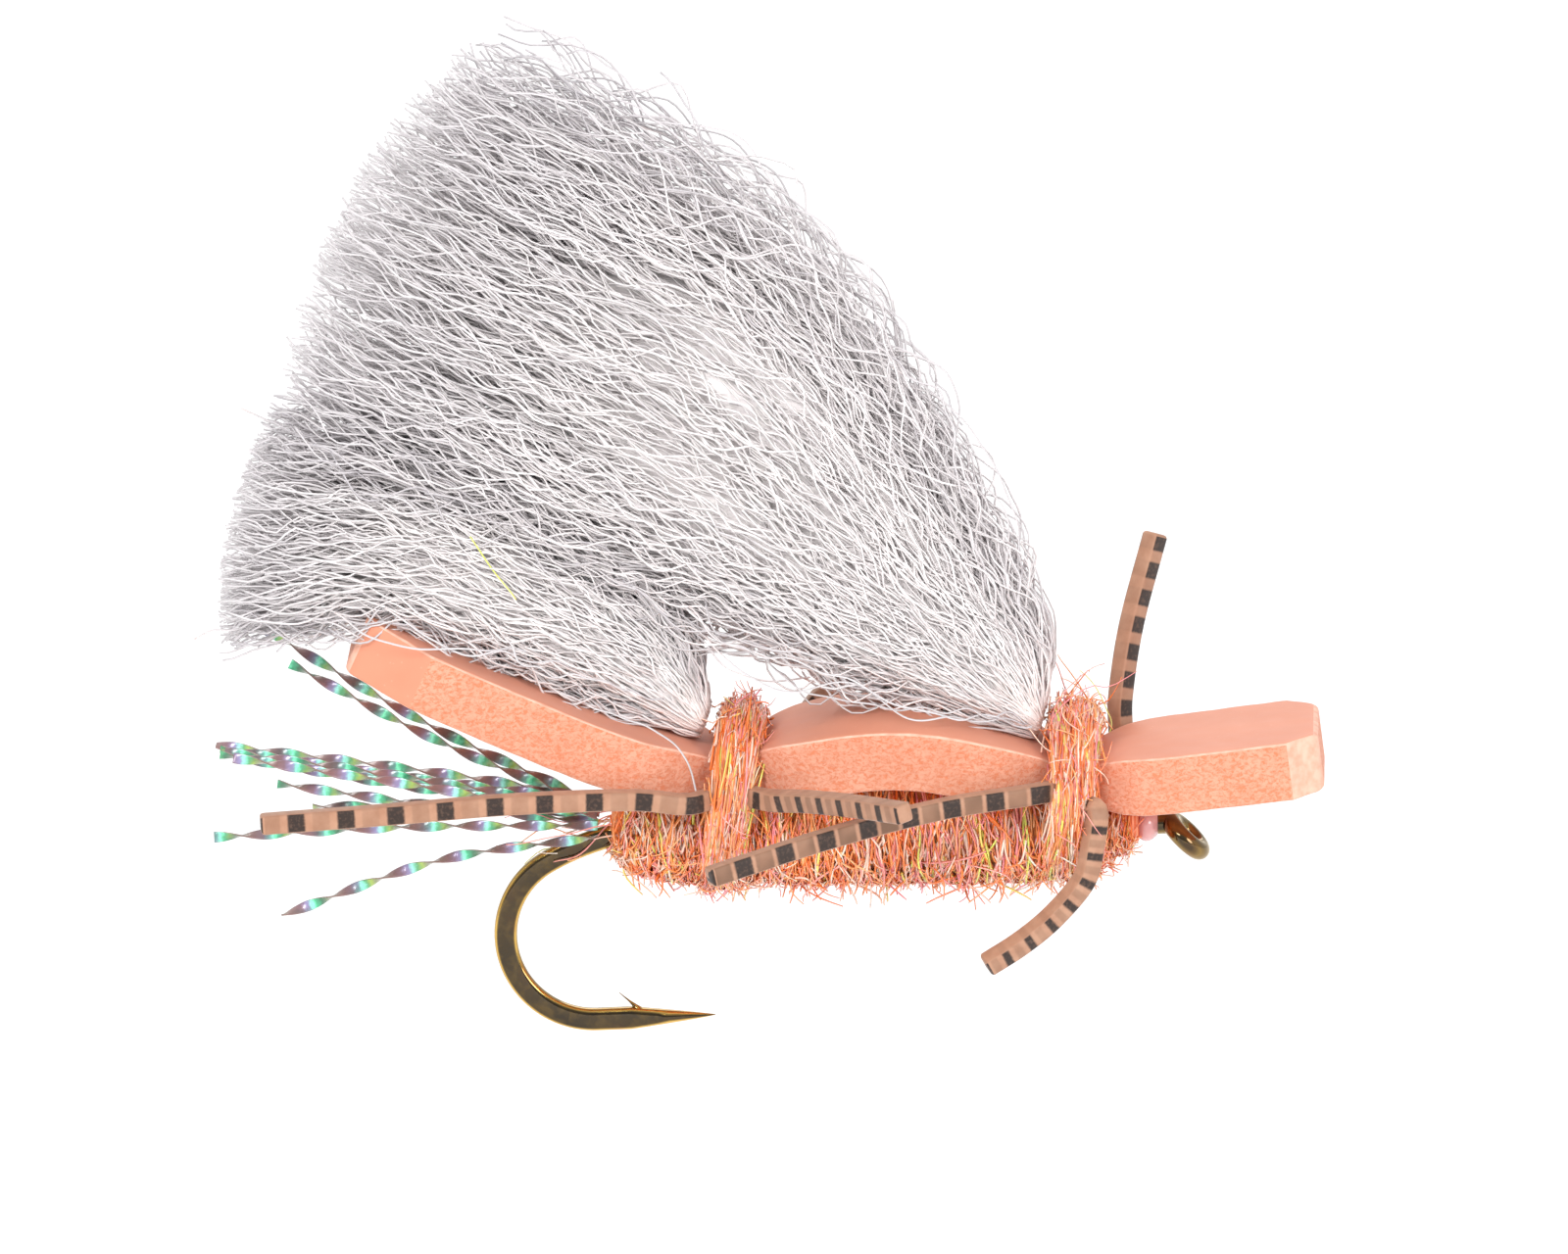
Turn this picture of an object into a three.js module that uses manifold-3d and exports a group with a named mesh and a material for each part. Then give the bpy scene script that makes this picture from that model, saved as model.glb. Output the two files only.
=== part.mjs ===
// A foam-bodied dry fly: a bronze down-eye hook, a dubbed body, one folded strip of craft foam tied down
// in two places, two yarn wings, four barred rubber strands that make eight legs, and a flash tail.
// Millimetres. +X runs towards the hook eye and the head, +Z is up, and the fly's right side is -Y.
// The origin is the centre of the ring of the hook eye.
import * as THREE from "three";
import { mergeVertices } from "three/addons/utils/BufferGeometryUtils.js";
import Module from "manifold-3d";

// Hook
const WIRE = 0.78;
const SHANK_Z = 0.46;
const BEND_START_X = -17.2;
const LEAD_RADIUS = 8.7;
const LEAD_TURN = Math.PI / 6;
const BEND_RADIUS = 2.96;
const SPEAR = 4.0;
const SPEAR_RISE = 0.03;
const TAPER = 2.9;
const FORGED_FLAT = 0.26;
const EYE_RING = 0.68;
const EYE_WIRE = 0.66;
const EYE_TILT = Math.PI / 4;

// Tie-down points of the foam, and the gap left between pieces that touch on the real fly
const REAR_TIE = -15.3;
const FRONT_TIE = -3.75;
const GAP = 0.05;

// Foam strip
const FOAM_THICK = 2.0;
const FOAM_WIDE = 6.0;
const FOAM_REAR_X = -27.35;
const FOAM_HEAD_X = 4.5;
const REAR_TIE_Z = 2.55;
const FRONT_TIE_Z = 2.1;
const REAR_SLOPE = 0.47;
const REAR_EASE = 2.3;
const HUMP = 1.07;
const HEAD_SLOPE = 0.115;
const CROWN = 0.35;
const SNIP = 1.35;
const SNIP_HALF = 1.7;

// Thread, dubbing and collars
const THREAD = 0.12;
const BODY_RADIUS = 1.8;
const COLLAR_HALF_WIDE = 3.05;
const COLLAR_INNER = 0.86;
const BAND_OUTER = 0.84;
const BAND_INNER = 0.8;

// Rubber legs and flash strands
const LEG = 0.66;
const STRAND = 0.3;
const TAIL_ROOT_X = -19.8;

const wasm = await Module();
wasm.setup();

const MATERIALS = {
  bronze: new THREE.MeshStandardMaterial({ color: 0x4a3f22, roughness: 0.25, metalness: 1 }),
  thread: new THREE.MeshStandardMaterial({ color: 0xf08a5c, roughness: 0.6, metalness: 0 }),
  dubbing: new THREE.MeshStandardMaterial({ color: 0xf58a64, roughness: 0.7, metalness: 0 }),
  foam: new THREE.MeshStandardMaterial({ color: 0xe8a285, roughness: 0.65, metalness: 0 }),
  yarn: new THREE.MeshStandardMaterial({ color: 0xe6e2e4, roughness: 0.6, metalness: 0 }),
  rubber: new THREE.MeshStandardMaterial({ color: 0xc08d74, roughness: 0.55, metalness: 0 }),
  flash: new THREE.MeshStandardMaterial({ color: 0x9fd9c0, roughness: 0.2, metalness: 0.3 }),
  cement: new THREE.MeshStandardMaterial({ color: 0xe8a0a0, roughness: 0.1, metalness: 0 }),
};

// Merges a geometry's shared vertices and turns its faces outwards, whichever way its profile ran.
function closed(geometry) {
  geometry.deleteAttribute("normal");
  geometry.deleteAttribute("uv");
  const merged = mergeVertices(geometry, 1e-4);
  const a = new THREE.Vector3();
  const b = new THREE.Vector3();
  const c = new THREE.Vector3();
  const corners = merged.getIndex().array;
  const position = merged.getAttribute("position");
  let volume = 0;
  for (let i = 0; i < corners.length; i += 3) {
    a.fromBufferAttribute(position, corners[i]);
    b.fromBufferAttribute(position, corners[i + 1]);
    c.fromBufferAttribute(position, corners[i + 2]);
    volume += a.dot(b.cross(c));
  }
  if (volume < 0) merged.setIndex(Array.from(corners).reverse());
  return merged;
}

// Joins overlapping closed geometries into one.
function joined(geometries) {
  const solids = geometries.map((geometry) => {
    const whole = closed(geometry);
    return new wasm.Manifold(
      new wasm.Mesh({
        numProp: 3,
        vertProperties: whole.getAttribute("position").array,
        triVerts: new Uint32Array(whole.getIndex().array),
      }),
    );
  });
  const mesh = solids.reduce((sum, solid) => sum.add(solid)).getMesh();
  const geometry = new THREE.BufferGeometry();
  geometry.setAttribute("position", new THREE.BufferAttribute(mesh.vertProperties, 3));
  geometry.setIndex(new THREE.BufferAttribute(mesh.triVerts, 1));
  return geometry;
}

// Bends a closed cylinder: place(step, a, b) gives the point of section number step that stands for
// the point (a, b) of the unit circle.
function sleeve(sides, steps, place) {
  const tube = new THREE.CylinderGeometry(1, 1, 1, sides, steps);
  const position = tube.getAttribute("position");
  for (let i = 0; i < position.count; i += 1) {
    const step = Math.round((0.5 + position.getY(i)) * steps);
    const point = place(step, position.getX(i), position.getZ(i));
    position.setXYZ(i, point.x, point.y, point.z);
  }
  return closed(tube);
}

// Turns a profile of [x, radius] pairs about the shank, round a hole that may widen to the rear.
function shankRing(profile, hole, sides, rearHole = hole) {
  const outline = profile.map(([x, radius]) => new THREE.Vector2(radius, x));
  outline.push(new THREE.Vector2(hole, profile.at(-1)[0]));
  if (rearHole > hole) outline.push(new THREE.Vector2(hole, BEND_START_X));
  outline.push(new THREE.Vector2(rearHole, profile[0][0]));
  outline.push(outline[0].clone());
  const lathe = new THREE.LatheGeometry(outline, sides);
  lathe.rotateZ(-Math.PI / 2);
  lathe.translate(0, 0, SHANK_Z);
  return closed(lathe);
}

function named(name, geometry, material) {
  const mesh = new THREE.Mesh(geometry, MATERIALS[material]);
  mesh.name = name;
  return mesh;
}

// Height of the middle of the foam's thickness along the fly.
function foamZ(x) {
  if (x < REAR_TIE) {
    const d = REAR_TIE - x;
    return REAR_TIE_Z + REAR_SLOPE * (d - REAR_EASE * (1 - Math.exp(-d / REAR_EASE)));
  }
  if (x > FRONT_TIE) return FRONT_TIE_Z + HEAD_SLOPE * (x - FRONT_TIE);
  const u = (x - REAR_TIE) / (FRONT_TIE - REAR_TIE);
  return THREE.MathUtils.lerp(REAR_TIE_Z, FRONT_TIE_Z, u) + HUMP * Math.sin(Math.PI * u) ** 1.2;
}

// How hard the two thread bands squeeze the foam at x: 1 at a band, fading over the given reach.
function squeeze(x, reach) {
  const pinch = (tie) => Math.exp(-(((x - tie) / reach) ** 2));
  return pinch(REAR_TIE) + pinch(FRONT_TIE);
}

const foamHalfThick = (x) => (FOAM_THICK / 2) * (1 - 0.4 * squeeze(x, 1.2));

function foamHalfWide(x) {
  const fromEnd = Math.min(x - FOAM_REAR_X, FOAM_HEAD_X - x);
  const snipped = Math.min(1, fromEnd / SNIP);
  const full = (FOAM_WIDE / 2) * (1 - 0.48 * squeeze(x, 1.8));
  return THREE.MathUtils.lerp(SNIP_HALF, full, snipped);
}

const foamUnderside = (x) => foamZ(x) - foamHalfThick(x);

// One strip of sheet foam with snipped corners, squeezed thin and narrow at both ties.
function foamStrip() {
  const steps = 52;
  const ease = 0.4;
  const stationX = (step) => {
    const inner = (step - 1) / (steps - 2);
    if (step === 0) return FOAM_REAR_X;
    if (step === steps) return FOAM_HEAD_X;
    return THREE.MathUtils.lerp(FOAM_REAR_X + SNIP, FOAM_HEAD_X - SNIP, inner);
  };
  return sleeve(16, steps, (step, a, b) => {
    const x = stationX(step);
    const slope = (foamZ(x + ease) - foamZ(x - ease)) / (2 * ease);
    const normal = new THREE.Vector3(-slope, 0, 1).normalize();
    const square = Math.max(Math.abs(a), Math.abs(b), 1e-9);
    const across = Math.abs(a) + Math.abs(b) > 0 ? a / square : 0;
    const through = Math.abs(a) + Math.abs(b) > 0 ? b / square : 0;
    const crown = CROWN * Math.exp(-(((x + 9.7) / 3) ** 2)) * (1 - across * across);
    const lift = foamHalfThick(x) * through + crown;
    return new THREE.Vector3(x, 0, foamZ(x))
      .addScaledVector(normal, lift)
      .setY(foamHalfWide(x) * across);
  });
}

// Stations of the hook wire from the eye to the point: centre, direction angle, radius, flat.
function hookStations() {
  const stations = [];
  const full = WIRE / 2;
  const add = (x, z, angle, radius, flat) => stations.push({ x, z, angle, radius, flat });
  for (const x of [-0.55, -1.2, -6, -12]) add(x, SHANK_Z, Math.PI, full * 0.97, full);
  const leadCentreZ = SHANK_Z - LEAD_RADIUS;
  for (let i = 0; i <= 6; i += 1) {
    const turn = (LEAD_TURN * i) / 6;
    const x = BEND_START_X - LEAD_RADIUS * Math.sin(turn);
    const z = leadCentreZ + LEAD_RADIUS * Math.cos(turn);
    add(x, z, Math.PI + turn, full, THREE.MathUtils.lerp(full, FORGED_FLAT, i / 6));
  }
  const last = stations.at(-1);
  const bendX = last.x + BEND_RADIUS * Math.sin(LEAD_TURN);
  const bendZ = last.z - BEND_RADIUS * Math.cos(LEAD_TURN);
  for (let i = 1; i <= 22; i += 1) {
    const turn = THREE.MathUtils.lerp(LEAD_TURN, Math.PI + SPEAR_RISE, i / 22);
    const x = bendX - BEND_RADIUS * Math.sin(turn);
    const z = bendZ + BEND_RADIUS * Math.cos(turn);
    add(x, z, Math.PI + turn, full, FORGED_FLAT);
  }
  const foot = stations.at(-1);
  for (let i = 1; i <= 8; i += 1) {
    const along = (SPEAR * i) / 8;
    const left = Math.min(1, (SPEAR - along + 0.06) / TAPER);
    const radius = full * left ** 0.85;
    const x = foot.x + along * Math.cos(SPEAR_RISE);
    const z = foot.z + along * Math.sin(SPEAR_RISE);
    add(x, z, foot.angle, radius, Math.min(FORGED_FLAT, radius));
  }
  return stations;
}

const HOOK = hookStations();

// Square barb sliced up from the spear, leaning back towards the bend.
function barb() {
  const tip = HOOK.at(-1);
  const outline = new THREE.Shape();
  outline.moveTo(tip.x - 2.25, tip.z + 0.16);
  outline.quadraticCurveTo(tip.x - 2.65, tip.z + 0.36, tip.x - 3.25, tip.z + 0.8);
  outline.quadraticCurveTo(tip.x - 2.85, tip.z + 0.46, tip.x - 2.72, tip.z + 0.12);
  const depth = 0.26;
  const blade = new THREE.ExtrudeGeometry(outline, { depth, bevelEnabled: false, curveSegments: 4 });
  blade.rotateX(Math.PI / 2);
  blade.translate(0, depth / 2, 0);
  return blade;
}

// The wire with forged flat sides on the bend, the tilted eye ring and the barb.
function hook() {
  const wire = sleeve(16, HOOK.length - 1, (step, a, b) => {
    const { x, z, angle, radius, flat } = HOOK[step];
    const out = radius * a;
    const side = THREE.MathUtils.clamp(radius * b, -flat, flat);
    return new THREE.Vector3(x - out * Math.sin(angle), side, z + out * Math.cos(angle));
  });
  const eye = new THREE.TorusGeometry(EYE_RING, EYE_WIRE / 2, 12, 32);
  eye.rotateY(EYE_TILT);
  return joined([wire, eye, barb()]);
}

const threadRadius = WIRE / 2 + GAP + THREAD;
const bodyHole = threadRadius + GAP;

function shankThreadBase() {
  return shankRing([[BEND_START_X, threadRadius], [-2.5, threadRadius]], WIRE / 2 + GAP, 20);
}

// Dubbed body, necked in under both collars and flattened where the foam lies on it.
function abdomenDubbing() {
  const neck = 1.2;
  const frontNeck = 1.05;
  const profile = [
    [-19.35, 0.85],
    [-18.9, 1.2],
    [-18.1, 1.5],
    [-17.1, BODY_RADIUS - 0.1],
    [-16.4, BODY_RADIUS - 0.15],
    [-16.2, neck],
    [REAR_TIE, neck],
    [-14.4, neck],
    [-14.2, BODY_RADIUS - 0.1],
    [-12.5, BODY_RADIUS],
    [-9.5, BODY_RADIUS],
    [-6.8, BODY_RADIUS],
    [-5.0, BODY_RADIUS - 0.1],
    [-4.8, frontNeck],
    [-3.3, frontNeck],
    [-2.75, 0.95],
  ];
  const body = shankRing(profile, bodyHole, 24, bodyHole + 0.12);
  const position = body.getAttribute("position");
  for (let i = 0; i < position.count; i += 1) {
    const roof = foamUnderside(position.getX(i)) - 2 * GAP;
    position.setZ(i, Math.min(position.getZ(i), roof));
  }
  return body;
}

const TIES = {
  rear: { x: REAR_TIE, z: 1.6, halfHigh: 3.05, halfLong: 0.88, foamZ: REAR_TIE_Z, legZ: 1.42, buttZ: 3.68 },
  front: { x: FRONT_TIE, z: 1.6, halfHigh: 2.85, halfLong: 1.0, foamZ: FRONT_TIE_Z, legZ: 0.98, buttZ: 3.35 },
};

// An oval ring round body and foam at one tie, between two fractions of the collar's outline.
function tieRing(tie, outer, inner, halfLong, shoulder) {
  const outline = [
    new THREE.Vector2(inner, -halfLong),
    new THREE.Vector2(outer - shoulder, -halfLong),
    new THREE.Vector2(outer, -halfLong + shoulder),
    new THREE.Vector2(outer, halfLong - shoulder),
    new THREE.Vector2(outer - shoulder, halfLong),
    new THREE.Vector2(inner, halfLong),
    new THREE.Vector2(inner, -halfLong),
  ];
  const ring = new THREE.LatheGeometry(outline, 40);
  ring.rotateZ(-Math.PI / 2);
  ring.scale(1, COLLAR_HALF_WIDE, tie.halfHigh);
  ring.translate(tie.x, 0, tie.z);
  return closed(ring);
}

const collar = (tie) => tieRing(tie, 1, COLLAR_INNER, tie.halfLong, 0.06);
const threadBand = (tie) => tieRing(tie, BAND_OUTER, BAND_INNER, 0.42, 0.01);

// The yarn that runs under the wraps on top of the foam.
function wingButt(tie) {
  const butt = new THREE.CylinderGeometry(1, 1, 0.9, 16);
  butt.rotateZ(Math.PI / 2);
  butt.scale(1, 0.62, 0.22);
  butt.translate(tie.x, 0, tie.buttZ);
  return closed(butt);
}

// The middle of one rubber strand, bound down beside the body; its two ends are legs.
function legTie(tie, side) {
  const middle = new THREE.BoxGeometry(2 * tie.halfLong, LEG - 0.1, LEG - 0.1);
  middle.translate(tie.x, side * 1.9, tie.legZ);
  return closed(middle);
}

function headThreadWraps() {
  return shankRing([[-2.4, 0.85], [-2.0, 0.8], [-1.6, 0.62]], WIRE / 2 + GAP, 20);
}

function headCement() {
  return shankRing([[-1.55, 0.56], [-1.35, 0.62], [-1.1, 0.56], [-0.98, 0.48]], WIRE / 2 + GAP, 20);
}

// Outlines of the two yarn tufts in side view, from the tie to the tips: lower and upper edge.
const WINGS = {
  rear_wing: {
    lower: [[-16.45, 3.75], [-19.7, 5.2], [-23, 6.65], [-27, 8.4], [-31.9, 8.2]],
    upper: [[-16.2, 4.4], [-17.1, 7.4], [-20, 9.8], [-25, 12.1], [-30.9, 14.4]],
    halfWide: 2.6,
    bulge: 1.3,
  },
  front_wing: {
    lower: [[-5.1, 3.75], [-8.2, 5.1], [-11.5, 5.45], [-14.2, 6.3], [-17.2, 9.2], [-22, 11.6], [-29.6, 15.3]],
    upper: [[-4.85, 4.4], [-4.75, 7.3], [-6.75, 11.4], [-9, 15.5], [-12.5, 20.5], [-17, 24.3], [-22, 27.2]],
    halfWide: 3.2,
    bulge: 2.4,
  },
};
const WING_ROOT_HALF_WIDE = 0.6;

// A flattened tuft: the oval between both edges, widening towards tips that end in a round line.
function wing({ lower, upper, halfWide, bulge }) {
  const steps = 18;
  const spline = (points) => new THREE.SplineCurve(points.map(([x, z]) => new THREE.Vector2(x, z)));
  const low = spline(lower);
  const high = spline(upper);
  return sleeve(16, steps, (step, a, b) => {
    const along = step / steps;
    const from = low.getPoint(along);
    const to = high.getPoint(along);
    const point = from.clone().lerp(to, (1 + a) / 2);
    const outward = new THREE.Vector2(from.y - to.y, to.x - from.x).normalize();
    point.addScaledVector(outward, bulge * along ** 6 * (1 - a * a));
    const half = THREE.MathUtils.lerp(WING_ROOT_HALF_WIDE, halfWide, along ** 0.6);
    return new THREE.Vector3(point.x, half * b, point.y);
  });
}

// A strand of the given section radii along a smooth path, ending in a small rounded root.
function strand(path, sides, radii) {
  const steps = radii.length - 1;
  const curve = new THREE.CatmullRomCurve3(path.map((point) => new THREE.Vector3(...point)));
  const frames = curve.computeFrenetFrames(steps, false);
  const turn = Math.PI / 4;
  return sleeve(sides, steps, (step, a, b) => {
    const u = a * Math.cos(turn) - b * Math.sin(turn);
    const v = a * Math.sin(turn) + b * Math.cos(turn);
    return curve
      .getPointAt(step / steps)
      .addScaledVector(frames.normals[step], u * radii[step])
      .addScaledVector(frames.binormals[step], v * radii[step]);
  });
}

// Each leg's path, from the centre of its root outwards.
const LEGS = {
  leg_right_rear_back: [[-16.8, -3.25, 2.1], [-18.6, -3.6, 2.35], [-22.5, -4.2, 2.4], [-26.5, -4.8, 2.25], [-30.9, -5.4, 2.1]],
  leg_right_rear_forward: [[-13.8, -3.25, 2.2], [-12.6, -4.6, 2.5], [-11, -6.6, 2.85], [-9.2, -9, 3.2]],
  leg_right_front_back: [[-5.25, -3.25, 2.3], [-8.2, -4.3, 2.1], [-11.8, -6, 1.6], [-15.8, -8, 0.8]],
  leg_right_front_forward: [[-3.1, -3.4, 0.45], [-3.4, -3.55, -0.6], [-4.4, -3.8, -1.75], [-5.5, -4.1, -2.6], [-6.7, -4.4, -3.3]],
  leg_left_rear_back: [[-16.8, 3.25, 2.1], [-18.6, 3.7, 2.5], [-21.5, 4.5, 3.5], [-24.6, 5.4, 4.6]],
  leg_left_rear_forward: [[-13.8, 3.25, 2.2], [-12.4, 4.9, 3.7], [-10.9, 6.5, 4.2], [-9, 8, 4.4]],
  leg_left_front_back: [[-5.25, 3.25, 2.3], [-7.6, 3.7, 2.1], [-10.4, 4.2, 1.7], [-13.2, 4.7, 1.2]],
  leg_left_front_forward: [[-2.25, 3.25, 2.3], [-2.2, 3.6, 3.9], [-1.8, 4.3, 6.3], [-0.95, 5, 9.3]],
};

function leg(path) {
  const radius = LEG / Math.SQRT2;
  return strand(path, 4, [radius * 0.7, ...Array(12).fill(radius)]);
}

// Flash strands: where each leaves the body (Y, Z), where its tip is, and how far it bows upwards.
const FLASH = [
  { root: [0.4, 1.2], tip: [-31.2, 2.6, 6.9], bow: -0.35 },
  { root: [0, 1.2], tip: [-30.2, 1.5, 5.9], bow: -0.3 },
  { root: [1.2, 1.2], tip: [-32.8, 1.8, 3.0], bow: 0.1 },
  { root: [0.8, 1.2], tip: [-32.6, 0.9, 3.1], bow: -0.1 },
  { root: [-0.4, 1.2], tip: [-32.4, 0.1, 3.2], bow: 0.1 },
  { root: [-0.8, 1.2], tip: [-32.5, -0.8, 3.35], bow: -0.1 },
  { root: [-1.2, 1.2], tip: [-32, -1.7, 3.45], bow: 0.05 },
  { root: [-0.6, 0.8], tip: [-30.6, -0.6, 2.25], bow: -0.1 },
  { root: [0.6, 0.8], tip: [-29.5, 0.7, 1.1], bow: 0.15 },
  { root: [-1.0, 0.8], tip: [-32.7, -1.9, 0.75], bow: 0.15 },
  { root: [-1.0, 0.4], tip: [-30.5, -1.5, -2.1], bow: 0.55 },
];

function flashStrand({ root, tip, bow }) {
  const start = [TAIL_ROOT_X, ...root];
  const middle = start.map((value, axis) => (value + tip[axis]) / 2 + (axis === 2 ? bow : 0));
  return strand([start, middle, tip], 6, Array(9).fill(STRAND / 2));
}

const fly = new THREE.Group();
fly.add(named("hook", hook(), "bronze"));
fly.add(named("shank_thread_base", shankThreadBase(), "thread"));
fly.add(named("abdomen_dubbing", abdomenDubbing(), "dubbing"));
fly.add(named("foam_strip", foamStrip(), "foam"));
fly.add(named("head_thread_wraps", headThreadWraps(), "thread"));
fly.add(named("head_cement", headCement(), "cement"));
for (const [place, tie] of Object.entries(TIES)) {
  fly.add(named(`${place}_thread_band`, threadBand(tie), "thread"));
  fly.add(named(`${place}_collar_dubbing`, collar(tie), "dubbing"));
  fly.add(named(`${place}_wing_butt`, wingButt(tie), "yarn"));
  fly.add(named(`${place}_leg_tie_right`, legTie(tie, -1), "rubber"));
  fly.add(named(`${place}_leg_tie_left`, legTie(tie, 1), "rubber"));
}
for (const [name, outline] of Object.entries(WINGS)) fly.add(named(name, wing(outline), "yarn"));
for (const [name, path] of Object.entries(LEGS)) fly.add(named(name, leg(path), "rubber"));
FLASH.forEach((flash, i) => {
  fly.add(named(`tail_flash_${String(i + 1).padStart(2, "0")}`, flashStrand(flash), "flash"));
});

export default fly;
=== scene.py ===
"""Looks of a foam-bodied dry fly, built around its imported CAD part.

Shapes are worked out in millimetres, in the part's own frame (+X towards the hook eye, +Z up, the fly's
right side at -Y), and turned into metres where a mesh is made.
"""

import math
from functools import partial

import bpy
import numpy as np
from mathutils import Matrix, Vector, noise


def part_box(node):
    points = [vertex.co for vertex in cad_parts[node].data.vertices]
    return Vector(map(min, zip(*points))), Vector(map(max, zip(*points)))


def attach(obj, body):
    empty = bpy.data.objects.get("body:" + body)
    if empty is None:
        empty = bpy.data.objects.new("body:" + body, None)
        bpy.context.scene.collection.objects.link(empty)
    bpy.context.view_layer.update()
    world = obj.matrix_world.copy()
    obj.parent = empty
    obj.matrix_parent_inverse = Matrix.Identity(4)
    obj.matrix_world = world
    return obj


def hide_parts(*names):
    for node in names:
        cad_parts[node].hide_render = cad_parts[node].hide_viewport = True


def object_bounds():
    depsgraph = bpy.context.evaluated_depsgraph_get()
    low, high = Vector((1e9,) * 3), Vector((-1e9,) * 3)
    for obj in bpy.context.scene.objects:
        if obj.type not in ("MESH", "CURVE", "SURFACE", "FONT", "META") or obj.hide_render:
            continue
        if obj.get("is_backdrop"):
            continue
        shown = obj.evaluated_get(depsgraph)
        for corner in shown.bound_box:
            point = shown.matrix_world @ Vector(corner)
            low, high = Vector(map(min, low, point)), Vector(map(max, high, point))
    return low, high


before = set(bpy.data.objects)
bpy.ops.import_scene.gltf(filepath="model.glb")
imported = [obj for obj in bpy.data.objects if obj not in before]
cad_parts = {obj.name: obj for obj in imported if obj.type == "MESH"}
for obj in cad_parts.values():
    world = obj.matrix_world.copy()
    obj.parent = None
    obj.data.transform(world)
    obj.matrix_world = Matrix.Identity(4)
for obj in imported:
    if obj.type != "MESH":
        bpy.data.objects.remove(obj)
CAD_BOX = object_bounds()

MM = 0.001
SEED = 20260
BAKE_MAP = "OFBake"  # a bundle of fibres carries its own compact map under this name
SHADE_COLUMNS = 48

# Hook
WIRE = 0.78
SHANK_Z = 0.46
BEND_START_X = -17.2
LEAD_RADIUS = 8.7
LEAD_TURN = math.pi / 6
BEND_RADIUS = 2.96
SPEAR = 4.0
SPEAR_RISE = 0.03
TAPER = 2.9
FORGED_FLAT = 0.26
EYE_RING = 0.68
EYE_WIRE = 0.66
EYE_TILT = math.pi / 4

# Foam strip and the two places where it is tied down
REAR_TIE = -15.3
FRONT_TIE = -3.75
FOAM_THICK = 2.0
FOAM_WIDE = 6.0
FOAM_REAR_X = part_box("foam_strip")[0].x / MM
FOAM_HEAD_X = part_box("foam_strip")[1].x / MM
REAR_TIE_Z = 2.55
FRONT_TIE_Z = 2.1
REAR_SLOPE = 0.47
REAR_EASE = 2.3
HUMP = 1.07
HEAD_SLOPE = 0.115
CROWN = 0.35  # how far the middle lobe's top is domed, where and over what length
CROWN_X = -9.7
CROWN_REACH = 3
HEAD_SNIP = 1.05
REAR_SNIP = 2.2
HEAD_SNIP_HALF = 2.05
REAR_SNIP_HALF = 1.7

# Collars of dubbing over the ties: oval rings round body and foam
COLLAR_HALF_WIDE = 3.05
COLLAR_Z = 1.6
COLLAR_INNER = 0.86
ALL_ROUND = (0, 2 * math.pi)
COLLARS = {
    "rear": {"x": REAR_TIE, "half_high": 3.0, "half_long": 0.74, "lean": 0.42},
    "front": {"x": FRONT_TIE, "half_high": 2.8, "half_long": 0.86, "lean": 0.1},
}

# Dubbed body: radius about the shank at stations along it
BODY_X = [-19.35, -18.9, -18.1, -17.1, -15.3, -14.2, -12.5, -6.8, -5.0, -3.3, -2.75]
BODY_RADIUS = [0.85, 1.2, 1.5, 1.7, 1.7, 1.75, 1.8, 1.8, 1.75, 1.5, 0.95]
UNDER_FOAM = 0.06  # its fibres stay this far below the foam

LEG = 0.66
TAIL_ROOT_X = -19.8
FLASH_TWIST = 3.6  # length of a whole turn of a ribbon

# Outlines of the two yarn tufts in side view, from the tie to the tips
WINGS = {
    "rear_wing": {
        "lower": [[-16.3, 3.8], [-19.7, 5.2], [-23, 6.55], [-27, 8.1], [-32.4, 7.4]],
        "upper": [[-16.0, 4.6], [-16.9, 7.9], [-20, 10.6], [-25, 13.0], [-30.6, 14.9]],
        "half_wide": 2.6,
        "bulge": 0.5,
    },
    "front_wing": {
        "lower": [
            [-4.95, 3.65],
            [-8.2, 4.9],
            [-11.5, 6.0],
            [-14.2, 7.2],
            [-17.2, 8.5],
            [-22, 10.8],
            [-29.9, 15.2],
        ],
        "upper": [
            [-4.7, 4.6],
            [-4.75, 7.3],
            [-6.75, 11.4],
            [-9, 15.5],
            [-12.5, 20.5],
            [-17, 24.3],
            [-22.7, 27.8],
        ],
        "half_wide": 3.2,
        "bulge": 1.7,
    },
}
WING_ROOT_HALF_WIDE = 0.9
LOCKS = 70  # that the fibres of a tuft draw into at its tips
SHORT_SHARE = 0.2  # of a tuft's fibres end early
DEEP_SHARE = 0.35  # of a tuft's fibres may lie well inside it, the others near its outside
YARN_RADIUS = 0.04  # of the fibres that are all alike

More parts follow.
